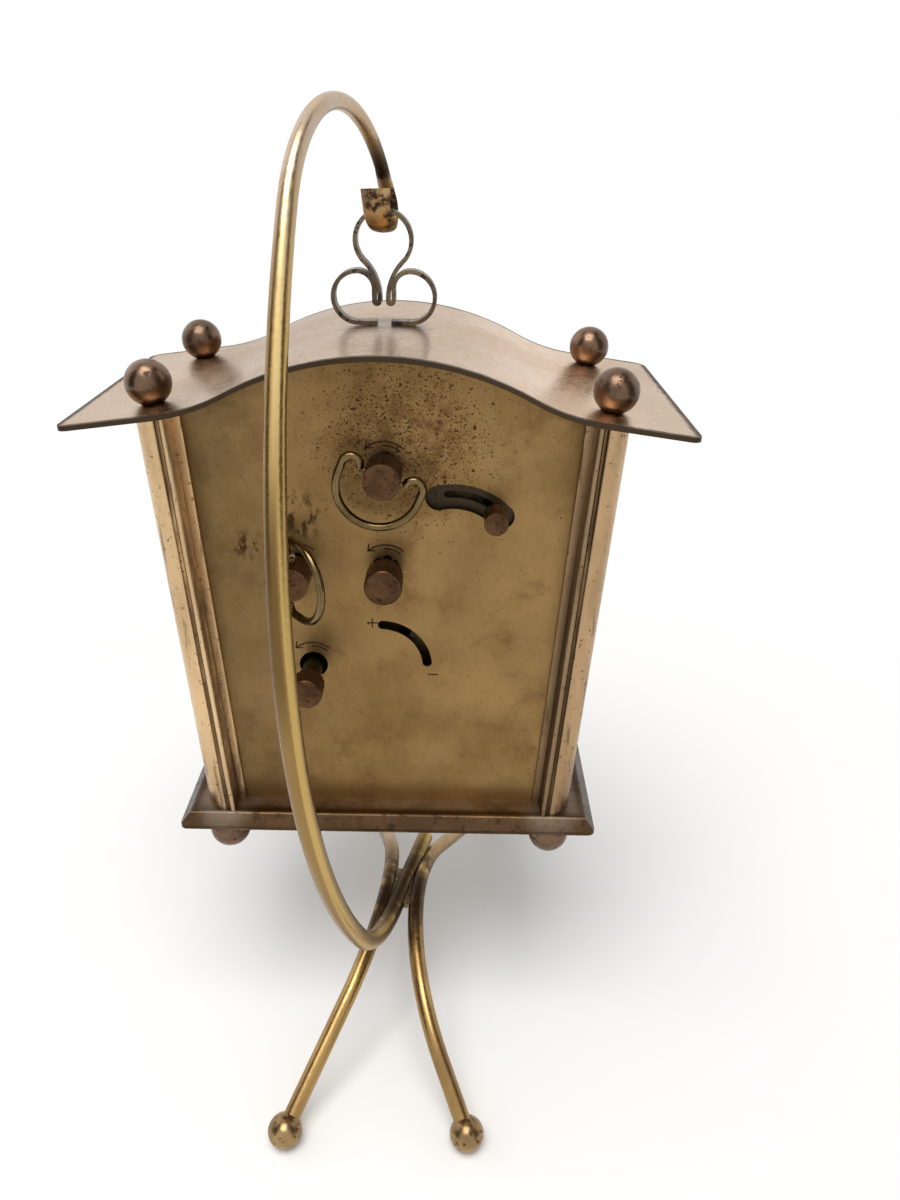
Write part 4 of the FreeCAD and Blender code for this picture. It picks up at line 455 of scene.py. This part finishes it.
loopLook = {
    "clean": (0.20, 0.15, 0.10), "stain": (0.08, 0.06, 0.044), "spot": (0.025, 0.019, 0.014),
    "cloudScale": 150, "grainScale": 900, "pitScale": 900, "pitStart": 0.58,
    "smooth": 0.26, "dull": 0.4, "grainDepth": 0.3,
}

stemLook = {
    "clean": (0.05, 0.04, 0.032), "stain": (0.026, 0.021, 0.017), "spot": (0.015, 0.012, 0.01),
    "cloudScale": 300, "grainScale": 1500, "pitScale": 1400, "pitStart": 0.62,
    "smooth": 0.3, "dull": 0.42, "grainDepth": 0.2,
}

ringLook = {
    "clean": (0.20, 0.14, 0.062), "stain": (0.125, 0.083, 0.035), "spot": (0.05, 0.03, 0.015),
    "cloudScale": 170, "grainScale": 900, "pitScale": 1300, "pitStart": 0.68,
    "smooth": 0.14, "dull": 0.22, "grainDepth": 0.1,
}

paint(panelFinish(), "front_plate", "side_panel_left", "side_panel_right")
paint(plateFinish(), "back_plate")
paint(roofFinish(), "roof")
paint(baseFinish(), "base_plate")
paint(postFinish(), "corner_post_front_left", "corner_post_front_right",
      "corner_post_rear_left", "corner_post_rear_right")
paint(tarnishedFinish("ballBrass", ballLook), "roof_balls", "base_balls")
paint(tarnishedFinish("knobBrass", knobLook), "hand_set_knob", "alarm_set_knob", "time_key_head",
      "alarm_key_head", "alarm_stop_knob")
paint(tarnishedFinish("stemSteel", stemLook), "alarm_set_arbor", "regulator_lever", "alarm_stop_lever")
paint(tarnishedFinish("loopBrass", loopLook), "suspension_loop")
paint(tarnishedFinish("ringBrass", ringLook), "time_key_ring", "alarm_key_ring")
print("case painted")


# finishes of the stand

standLook = {
    "spot": (0.05, 0.031, 0.02), "cloudScale": 60, "grainScale": 900, "pitScale": 700, "pitStart": 0.7,
    "smooth": 0.2, "dull": 0.3, "grainDepth": 0.08, "stretch": (1, 1, 0.3), "bump": 0.12,
}

rodLook = {
    **standLook, "clean": (0.56, 0.365, 0.13), "stain": (0.41, 0.255, 0.09), "grey": (0.50, 0.385, 0.285),
    "gold": (0.52, 0.32, 0.135), "olive": (0.27, 0.172, 0.062), "paintedShadeBrown": (0.28, 0.175, 0.08),
    "bright": (0.80, 0.60, 0.27), "umber": (0.14, 0.077, 0.025), "sheenGold": (0.66, 0.45, 0.15),
    "oliveFrom": 135 * mm, "oliveTo": 165 * mm, "oliveMost": 0.85,
    "shadeBrownFrom": 0.2, "shadeBrownTo": 0.75, "shadeBrownMost": 0.7,
    "umberBand": {"at": 128 * mm, "near": 8 * mm, "far": 26 * mm, "most": 0.75}, "umberSide": (-0.4, 0.0),
    "brightBand": {"at": -0.2, "near": 0.2, "far": 0.5, "most": 0.85}, "brightUp": (145 * mm, 170 * mm),
    "sheenBand": {"at": -0.6, "near": 0.15, "far": 0.35, "most": 0.8},
    "greyUp": (168 * mm, 196 * mm), "greyish": patches(90, 0.3, 0.7, least=0.45, offset=4.0),
    "soot": patches(200, 0.30, 0.52, offset=6.0), "sootTip": (6 * mm, 17 * mm),
    "sootJoin": (7 * mm, 24 * mm), "joinMost": 0.85,
    "golden": patches(330, 0.44, 0.56, most=0.9, offset=18.0), "goldTip": (4 * mm, 8 * mm),
}


def rodFinish():
    look = rodLook
    surface = brassSurface("rodBrass", look)
    # duller olive below; painted shade, darker brown along one side, with a painted dark reflection in a
    # band on that side
    side = facing(surface, 0)
    lower = ramp(surface, surface["z"], look["oliveFrom"], look["oliveTo"], look["oliveMost"], 0.0)
    layOver(surface, lower, look["olive"], dullness=0.06)
    paintedShadeBrown = ramp(surface, side, look["shadeBrownFrom"], look["shadeBrownTo"], 0.0, look["shadeBrownMost"])
    layOver(surface, paintedShadeBrown, look["paintedShadeBrown"], dullness=0.05)
    paintedDarkReflection = times(surface, band(surface, surface["z"], look["umberBand"]),
                   ramp(surface, side, *look["umberSide"]))
    layOver(surface, paintedDarkReflection, look["umber"], dullness=0.05)
    # painted highlights: a bright band above and a gold sheen band below
    upper = ramp(surface, surface["z"], *look["brightUp"])
    layOver(surface, times(surface, band(surface, side, look["brightBand"]), upper), look["bright"])
    layOver(surface, times(surface, band(surface, side, look["sheenBand"]), lower), look["sheenGold"])
    top = ramp(surface, surface["z"], *look["greyUp"])
    layOver(surface, times(surface, top, mottle(surface, look["greyish"])), look["grey"], dullness=0.06)
    # soot and rubbed gold at the tip, soot around the solder
    tipPoint = middleOf("suspension_loop")
    tipPoint[2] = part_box("suspension_loop")[1][2]
    soot = mottle(surface, look["soot"])
    sooted = times(surface, nearPoint(surface, tipPoint, look["sootTip"]), soot)
    layOver(surface, sooted, look["spot"], dullness=0.2)
    golden = times(surface, nearPoint(surface, tipPoint, look["goldTip"]), mottle(surface, look["golden"]))
    layOver(surface, golden, look["gold"], dullness=0.05)
    atJoin = nearPoint(surface, middleOf("junction_solder"), look["sootJoin"])
    layOver(surface, times(surface, atJoin, soot, look["joinMost"]), look["spot"], dullness=0.15)
    return finishMetal(surface, look["bump"])


legLook = {
    **standLook, "clean": (0.44, 0.28, 0.105), "stain": (0.28, 0.17, 0.07),
    "soot": patches(170, 0.32, 0.56, offset=6.0), "sootJoin": (7 * mm, 26 * mm), "joinMost": 0.9,
}


def legFinish():
    look = legLook
    surface = brassSurface("legBrass", look)
    atJoin = nearPoint(surface, middleOf("junction_solder"), look["sootJoin"])
    soot = times(surface, atJoin, mottle(surface, look["soot"]), look["joinMost"])
    layOver(surface, soot, look["spot"], dullness=0.15)
    return finishMetal(surface, look["bump"])


footLook = {
    "clean": (0.40, 0.265, 0.125), "stain": (0.23, 0.145, 0.07), "spot": (0.05, 0.03, 0.018),
    "cloudScale": 170, "grainScale": 900, "pitScale": 800, "pitStart": 0.6,
    "smooth": 0.18, "dull": 0.3, "grainDepth": 0.2,
}

solderLook = {
    "clean": (0.30, 0.24, 0.15), "stain": (0.14, 0.10, 0.065), "spot": (0.04, 0.03, 0.02),
    "cloudScale": 220, "grainScale": 700, "pitScale": 700, "pitStart": 0.58,
    "smooth": 0.4, "dull": 0.55, "grainDepth": 0.5,
}

paint(rodFinish(), "hook_rod")
paint(legFinish(), "leg_rod_left", "leg_rod_right")
paint(tarnishedFinish("footBrass", footLook), "stand_ball_feet")
paint(tarnishedFinish("solderGrey", solderLook), "junction_solder")
print("stand painted")


# finishes of the dial side and the movement

bezelLook = {
    "clean": (0.72, 0.54, 0.26), "stain": (0.58, 0.41, 0.18), "spot": (0.08, 0.05, 0.03),
    "cloudScale": 70, "grainScale": 800, "pitScale": 900, "pitStart": 0.69,
    "smooth": 0.14, "dull": 0.24, "grainDepth": 0.1,
}

wheelLook = {
    "clean": (0.70, 0.54, 0.28), "stain": (0.58, 0.43, 0.20), "spot": (0.2, 0.13, 0.07),
    "cloudScale": 90, "grainScale": 900, "pitScale": 1200, "pitStart": 0.7,
    "smooth": 0.28, "dull": 0.38, "grainDepth": 0.15,
}

steelLook = {
    "clean": (0.46, 0.46, 0.47), "stain": (0.32, 0.31, 0.30), "spot": (0.1, 0.08, 0.07),
    "cloudScale": 120, "grainScale": 900, "pitScale": 1200, "pitStart": 0.68,
    "smooth": 0.28, "dull": 0.4, "grainDepth": 0.15,
}

dialLook = {
    "fresh": (0.80, 0.76, 0.66), "worn": (0.70, 0.63, 0.50), "smooth": 0.42, "dull": 0.5, "gloss": 0.5,
    "wear": patches(45, 0.4, 0.75, detail=5.0),
}

handLook = {
    "fresh": (0.012, 0.012, 0.014), "worn": (0.055, 0.045, 0.035), "smooth": 0.28, "dull": 0.5, "gloss": 0.5,
    "wear": patches(380, 0.4, 0.75, detail=5.0),
}

plateInkLook = {
    "fresh": (0.028, 0.016, 0.008), "worn": (0.07, 0.04, 0.017), "smooth": 0.5, "dull": 0.65, "gloss": 0.1,
    "wear": patches(420, 0.4, 0.75, detail=5.0),
}

dialInkLook = {
    "fresh": (0.018, 0.016, 0.015), "worn": (0.06, 0.053, 0.044), "smooth": 0.45, "dull": 0.6, "gloss": 0.3,
    "wear": patches(400, 0.4, 0.75, detail=5.0),
}


def paintedFinish(name, look):
    # paint or ink that is worn in patches
    surface = newSurface(name)
    shader = surface["shader"]
    worn = mottle(surface, look["wear"])
    feed(surface, shader.inputs["Base Color"], blend(surface, worn, look["fresh"], look["worn"]))
    feed(surface, shader.inputs["Roughness"], ramp(surface, worn, 0.0, 1.0, look["smooth"], look["dull"]))
    shader.inputs["Specular IOR Level"].default_value = look["gloss"]
    return surface["material"]


glassLook = {
    "clear": (0.99, 0.99, 0.99), "smeared": (0.95, 0.97, 0.96), "smooth": 0.02, "dull": 0.07,
    "smearScale": 70, "smearStretch": (1, 1, 0.4), "smearStart": 0.35, "smearFull": 0.7, "ior": 1.45,
}


def glassFinish():
    # clear, a little smeared
    look = glassLook
    surface = newSurface("crystalGlass")
    shader = surface["shader"]
    smear = noise(surface, look["smearScale"], stretch=look["smearStretch"])
    rough = ramp(surface, smear, look["smearStart"], look["smearFull"], look["smooth"], look["dull"])
    feed(surface, shader.inputs["Base Color"], blend(surface, smear, look["clear"], look["smeared"]))
    feed(surface, shader.inputs["Roughness"], rough)
    shader.inputs["Transmission Weight"].default_value = 1.0
    shader.inputs["IOR"].default_value = look["ior"]
    return surface["material"]


paint(tarnishedFinish("bezelBrass", bezelLook), "bezel")
paint(paintedFinish("dialPaint", dialLook), "dial")
paint(paintedFinish("handBlack", handLook), "minute_hand", "hour_hand", "alarm_hand")
paint(glassFinish(), "crystal")
paint(tarnishedFinish("movementSteel", steelLook), "tie_rods", "time_mainspring", "alarm_mainspring",
      "hairspring", "time_winding_arbor", "alarm_winding_arbor", "time_click", "alarm_click",
      "centre_arbor", "pallet_lever", "alarm_hammer")
paint(tarnishedFinish("movementBrass", wheelLook), "front_movement_plate", "rear_movement_plate",
      "movement_pillars", "movement_posts", "time_great_wheel", "centre_wheel", "third_wheel",
      "escape_wheel", "balance_wheel", "minute_wheel", "hour_wheel", "alarm_wheel",
      "alarm_great_wheel", "hammer_wheel")
print("dial side and movement painted")


# marks on the back plate and the dial

def newTree(name, *numbers):
    tree = bpy.data.node_groups.new(name, "GeometryNodeTree")
    tree.interface.new_socket("Geometry", in_out="INPUT", socket_type="NodeSocketGeometry")
    for number in numbers:
        tree.interface.new_socket(number, in_out="INPUT", socket_type="NodeSocketFloat")
    tree.interface.new_socket("Geometry", in_out="OUTPUT", socket_type="NodeSocketGeometry")
    return tree, tree.nodes.new("NodeGroupInput"), tree.nodes.new("NodeGroupOutput")


def treeFeed(tree, socket, value):
    if isinstance(value, bpy.types.NodeSocket):
        tree.links.new(value, socket)
    else:
        socket.default_value = value


def treeNode(tree, kind, **values):
    # values are plain constants or sockets, spaces in a socket's name are written as underscores
    node = tree.nodes.new(kind)
    for key, value in values.items():
        treeFeed(tree, node.inputs[key.replace("_", " ")], value)
    return node


def treeMath(tree, operation, a, b):
    node = tree.nodes.new("ShaderNodeMath")
    node.operation = operation
    treeFeed(tree, node.inputs[0], a)
    treeFeed(tree, node.inputs[1], b)
    return node.outputs[0]


def joined(tree, *parts):
    node = tree.nodes.new("GeometryNodeJoinGeometry")
    for part in parts:
        tree.links.new(part, node.inputs[0])
    return node.outputs[0]


def endTree(tree, output, geometry, material):
    real = treeNode(tree, "GeometryNodeRealizeInstances", Geometry=geometry)
    coloured = treeNode(tree, "GeometryNodeSetMaterial", Geometry=real.outputs[0], Material=material)
    tree.links.new(coloured.outputs[0], output.inputs[0])


def growMesh(name, tree, points, values):
    # run the tree on a few points and keep the result as one plain mesh
    mesh = bpy.data.meshes.new(name)
    mesh.from_pydata(points, [], [])
    thing = bpy.data.objects.new(name, mesh)
    bpy.context.collection.objects.link(thing)
    modifier = thing.modifiers.new(name, "NODES")
    modifier.node_group = tree
    for item in tree.interface.items_tree:
        if item.item_type == "SOCKET" and item.in_out == "INPUT" and item.name in values:
            modifier[item.identifier] = values[item.name]
    solid = thing.evaluated_get(bpy.context.evaluated_depsgraph_get())
    grown = bpy.data.meshes.new_from_object(solid)
    thing.modifiers.clear()
    thing.data = grown
    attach(thing, "clock_case")
    print(name, len(grown.polygons), "faces")


def keepMesh(name, mesh, material):
    mesh.materials.clear()
    mesh.materials.append(material)
    thing = bpy.data.objects.new(name, mesh)
    bpy.context.collection.objects.link(thing)
    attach(thing, "clock_case")


plateInk = paintedFinish("inkBrown", plateInkLook)
dialInk = paintedFinish("dialInk", dialInkLook)

turnMark = {
    "controls": ("alarm_key_head", "time_key_head", "hand_set_knob", "alarm_set_knob"),
    "outer": 5.3 * mm, "inner": 4.5 * mm, "line": 0.3 * mm, "deep": 0.06 * mm, "barb": 1.5 * mm,
    "outerFrom": 48, "outerSweep": 84, "innerFrom": 86, "innerSweep": 46, "barbTurn": 38, "steps": 24,
}


def turnMarks():
    # an arrow over each key and knob, two arcs with a head at the outer one's end
    look = turnMark
    tree, start, end = newTree("turnMarks", "Outer radius", "Inner radius", "Line width", "Line depth")
    line = treeNode(tree, "GeometryNodeCurvePrimitiveQuadrilateral",
                    Width=start.outputs["Line width"], Height=start.outputs["Line depth"])
    strokes = []
    for radius, first, sweep in (("Outer radius", look["outerFrom"], look["outerSweep"]),
                                 ("Inner radius", look["innerFrom"], look["innerSweep"])):
        arc = treeNode(tree, "GeometryNodeCurveArc", Resolution=look["steps"], Radius=start.outputs[radius],
                       Start_Angle=math.radians(first), Sweep_Angle=math.radians(sweep))
        stroke = treeNode(tree, "GeometryNodeCurveToMesh", Curve=arc.outputs["Curve"],
                          Profile_Curve=line.outputs[0], Fill_Caps=True)
        strokes.append(stroke.outputs[0])
    point = math.radians(look["outerFrom"])
    tip = Vector((math.cos(point), math.sin(point), 0)) * look["outer"]
    back = point + math.pi / 2
    for side in (-1, 1):
        heading = back + side * math.radians(look["barbTurn"])
        middle = tip + Vector((math.cos(heading), math.sin(heading), 0)) * look["barb"] / 2
        barb = treeNode(tree, "GeometryNodeMeshCube", Size=(look["barb"], look["line"], look["deep"]))
        placed = treeNode(tree, "GeometryNodeTransform", Geometry=barb.outputs["Mesh"],
                          Translation=middle, Rotation=(0, 0, heading))
        strokes.append(placed.outputs[0])
    upright = treeNode(tree, "GeometryNodeTransform", Geometry=joined(tree, *strokes),
                       Rotation=(math.pi / 2, 0, 0))
    marks = treeNode(tree, "GeometryNodeInstanceOnPoints", Points=start.outputs["Geometry"],
                     Instance=upright.outputs[0])
    endTree(tree, end, marks.outputs[0], plateInk)
    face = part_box("back_plate")[1][1]
    spots = []
    for name in look["controls"]:
        place = middleOf(name)
        spots.append((place[0], face, place[2]))
    growMesh("turnMarks", tree, spots, {"Outer radius": look["outer"], "Inner radius": look["inner"],
                                        "Line width": look["line"], "Line depth": look["deep"]})


signMark = {
    "plusAt": (3.0 * mm, 105.6 * mm), "minusAt": (-9.7 * mm, 93.4 * mm),
    "length": 2.3 * mm, "line": 0.28 * mm, "deep": 0.06 * mm,
}


def signMarks():
    # plus and minus beside the regulator's slot
    look = signMark
    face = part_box("back_plate")[1][1]
    bars = (("plusAt", look["length"], look["line"]), ("plusAt", look["line"], look["length"]),
            ("minusAt", look["length"], look["line"]))
    corners, sides = [], []
    for place, width, height in bars:
        x, z = look[place]
        first = len(corners)
        for dy in (-look["deep"] / 2, look["deep"] / 2):
            corners += [(x + dx * width / 2, face + dy, z + dz * height / 2)
                        for dx, dz in ((-1, -1), (1, -1), (1, 1), (-1, 1))]
        sides += [[first + index for index in side] for side in
                  ((0, 1, 2, 3), (7, 6, 5, 4), (0, 4, 5, 1), (1, 5, 6, 2), (2, 6, 7, 3), (3, 7, 4, 0))]
    mesh = bpy.data.meshes.new("regulatorSigns")
    mesh.from_pydata(corners, [], sides)
    keepMesh("regulatorSigns", mesh, plateInk)


dialMark = {
    "ticks": 60, "ticksPerHour": 5, "ring": 23.6 * mm, "length": 1.5 * mm, "width": 0.22 * mm,
    "hourWidth": 2.6, "deep": 0.05 * mm, "numberRing": 19.4 * mm, "numberSize": 6.0 * mm,
}


def dialTicks():
    look = dialMark
    tree, start, end = newTree("dialTicks", "Tick length", "Tick width", "Tick depth", "Hour tick width")
    index = treeNode(tree, "GeometryNodeInputIndex").outputs[0]
    size = treeNode(tree, "ShaderNodeCombineXYZ", X=start.outputs["Tick length"],
                    Y=start.outputs["Tick depth"], Z=start.outputs["Tick width"])
    tick = treeNode(tree, "GeometryNodeMeshCube", Size=size.outputs[0])
    # points run around the dial, so the index gives the tick's turn
    turn = treeMath(tree, "MULTIPLY", index, -2 * math.pi / look["ticks"])
    heading = treeNode(tree, "ShaderNodeCombineXYZ", Y=turn)
    within = treeMath(tree, "MODULO", index, look["ticksPerHour"])
    onHour = treeMath(tree, "LESS_THAN", within, 0.5)
    extra = treeMath(tree, "SUBTRACT", start.outputs["Hour tick width"], 1.0)
    wide = treeMath(tree, "ADD", 1.0, treeMath(tree, "MULTIPLY", onHour, extra))
    scale = treeNode(tree, "ShaderNodeCombineXYZ", X=1.0, Y=1.0, Z=wide)
    ticks = treeNode(tree, "GeometryNodeInstanceOnPoints", Points=start.outputs["Geometry"],
                     Instance=tick.outputs["Mesh"], Rotation=heading.outputs[0], Scale=scale.outputs[0])
    endTree(tree, end, ticks.outputs[0], dialInk)
    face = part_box("dial")[0][1]
    centre = middleOf("dial")
    spots = []
    for number in range(look["ticks"]):
        angle = 2 * math.pi * number / look["ticks"]
        spots.append((centre[0] + look["ring"] * math.cos(angle), face,
                      centre[2] + look["ring"] * math.sin(angle)))
    growMesh("dialTicks", tree, spots, {"Tick length": look["length"], "Tick width": look["width"],
                                        "Tick depth": look["deep"], "Hour tick width": look["hourWidth"]})


def hourNumber(hour):
    # one number as a flat mesh at its place on the dial
    look = dialMark
    letters = bpy.data.curves.new("hour", "FONT")
    letters.body = str(hour)
    letters.size = look["numberSize"]
    letters.align_x = "CENTER"
    letters.align_y = "CENTER"
    letters.extrude = look["deep"] / 2
    writing = bpy.data.objects.new("hour", letters)
    bpy.context.collection.objects.link(writing)
    solid = writing.evaluated_get(bpy.context.evaluated_depsgraph_get())
    flat = bpy.data.meshes.new_from_object(solid)
    bpy.data.objects.remove(writing)
    centre = middleOf("dial")
    angle = math.radians(90 - 30 * hour)
    spot = Vector((centre[0] + look["numberRing"] * math.cos(angle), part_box("dial")[0][1],
                   centre[2] + look["numberRing"] * math.sin(angle)))
    flat.transform(Matrix.Translation(spot) @ Matrix.Rotation(math.pi / 2, 4, "X"))
    return flat


def dialNumbers():
    gathered = bmesh.new()
    for hour in range(1, 13):
        flat = hourNumber(hour)
        gathered.from_mesh(flat)
        bpy.data.meshes.remove(flat)
    mesh = bpy.data.meshes.new("dialNumbers")
    gathered.to_mesh(mesh)
    gathered.free()
    keepMesh("dialNumbers", mesh, dialInk)


turnMarks()
signMarks()
dialTicks()
dialNumbers()
print("marks made")


# floor, light and camera

studio = {
    "floorSize": 8.0, "floorColour": (0.93, 0.92, 0.90), "fadeFrom": 0.07, "fadeTo": 0.26,
    "flagColour": (0.10, 0.09, 0.08), "dull": 0.9, "worldStrength": 0.54,
}


def seenRays(tree):
    # 1 for what the camera and mirror-like faces see
    rays = tree.nodes.new("ShaderNodeLightPath")
    seen = tree.nodes.new("ShaderNodeMath")
    seen.operation = "MAXIMUM"
    tree.links.new(rays.outputs["Is Camera Ray"], seen.inputs[0])
    tree.links.new(rays.outputs["Is Glossy Ray"], seen.inputs[1])
    return seen.outputs[0]


def studioSurface(name, colour):
    surface = newSurface(name)
    surface["shader"].inputs["Base Color"].default_value = (*colour, 1)
    surface["shader"].inputs["Roughness"].default_value = studio["dull"]
    return surface


def makeFloor():
    bpy.ops.mesh.primitive_plane_add(size=studio["floorSize"], location=(0, 0, 0))
    floor = bpy.context.object
    floor.name = "studioFloor"
    surface = studioSurface("floorWhite", studio["floorColour"])
    tree, shader = surface["tree"], surface["shader"]
    shader.inputs["Specular IOR Level"].default_value = 0.0
    # white a little way off, so only the shadow near the feet shows
    farOff = ramp(surface, fromPoint(surface, (0, 0, 0)), studio["fadeFrom"], studio["fadeTo"])
    white = tree.nodes.new("ShaderNodeEmission")
    mixed = tree.nodes.new("ShaderNodeMixShader")
    feed(surface, mixed.inputs[0], times(surface, farOff, seenRays(tree)))
    tree.links.new(shader.outputs[0], mixed.inputs[1])
    tree.links.new(white.outputs[0], mixed.inputs[2])
    tree.links.new(mixed.outputs[0], tree.nodes["Material Output"].inputs["Surface"])
    floor.data.materials.append(surface["material"])


# dark cards that only reflections see, they draw the dark streaks along rods and balls
flags = {
    "flagLeft": {"place": (0.60, 0.26, 0.55), "turn": (0, 90, 0), "size": (1.1, 0.46)},
    "flagRight": {"place": (-0.60, 0.26, 0.55), "turn": (0, 90, 0), "size": (1.1, 0.46)},
    "flagOverLeft": {"place": (0.55, 0.10, 1.20), "turn": (0, 0, 0), "size": (0.5, 1.2)},
    "flagOverRight": {"place": (-0.62, 0.10, 1.20), "turn": (0, 0, 0), "size": (0.5, 1.2)},
}


def makeFlags():
    dark = studioSurface("flagDark", studio["flagColour"])["material"]
    for name, flag in flags.items():
        bpy.ops.mesh.primitive_plane_add(size=1, location=flag["place"])
        card = bpy.context.object
        card.name = name
        card.rotation_euler = [math.radians(angle) for angle in flag["turn"]]
        card.scale = (*flag["size"], 1)
        card.data.materials.append(dark)
        card.visible_camera = False
        card.visible_diffuse = False
        card.visible_shadow = False
        card.visible_transmission = False


def makeWorld():
    world = bpy.data.worlds.new("studioWorld")
    bpy.context.scene.world = world
    world.use_nodes = True
    tree = world.node_tree
    background = tree.nodes["Background"]
    background.inputs["Color"].default_value = (1, 1, 1, 1)
    strength = tree.nodes.new("ShaderNodeMapRange")
    tree.links.new(seenRays(tree), strength.inputs["Value"])
    strength.inputs["To Min"].default_value = studio["worldStrength"]
    strength.inputs["To Max"].default_value = 1.0
    tree.links.new(strength.outputs["Result"], background.inputs["Strength"])


lamps = {
    "keyLamp": {"place": (0.10, 0.36, 1.05), "aim": (0, 0, 0.05), "size": 0.7, "power": 8.2},
    "sideLamp": {"place": (0.7, -0.3, 0.7), "aim": (0, 0, 0.1), "size": 1.0, "power": 1.5},
}


def makeLamps():
    for name, look in lamps.items():
        data = bpy.data.lights.new(name, "AREA")
        data.energy = look["power"]
        data.size = look["size"]
        lamp = bpy.data.objects.new(name, data)
        lamp.location = look["place"]
        toAim = Vector(look["aim"]) - Vector(look["place"])
        lamp.rotation_euler = toAim.to_track_quat("-Z", "Y").to_euler()
        bpy.context.collection.objects.link(lamp)


# the view of the photograph, from behind the clock and above
cameraView = {
    "place": (-0.01271, 0.18339, 0.19627), "pitch": 26.57, "yaw": 0.10, "roll": 1.07,
    "lens": 27.9, "sensor": 36, "nearest": 0.01,
}


def placeCamera():
    pitch, yaw, roll = (math.radians(cameraView[key]) for key in ("pitch", "yaw", "roll"))
    level = math.cos(pitch)
    forward = Vector((-math.sin(yaw) * level, -math.cos(yaw) * level, -math.sin(pitch)))
    right = Vector((-math.cos(yaw), math.sin(yaw), 0))
    up = right.cross(forward)
    tiltedRight = right * math.cos(roll) + up * math.sin(roll)
    tiltedUp = up * math.cos(roll) - right * math.sin(roll)
    matrix = Matrix((tiltedRight, tiltedUp, -forward)).transposed().to_4x4()
    matrix.translation = Vector(cameraView["place"])
    data = bpy.data.cameras.new("photoCamera")
    data.lens = cameraView["lens"]
    data.sensor_width = cameraView["sensor"]
    data.clip_start = cameraView["nearest"]
    camera = bpy.data.objects.new("photoCamera", data)
    camera.matrix_world = matrix
    bpy.context.collection.objects.link(camera)
    bpy.context.scene.camera = camera


makeFloor()
makeFlags()
makeWorld()
makeLamps()
placeCamera()
bpy.context.scene.view_settings.view_transform = "Standard"
print("studio set")
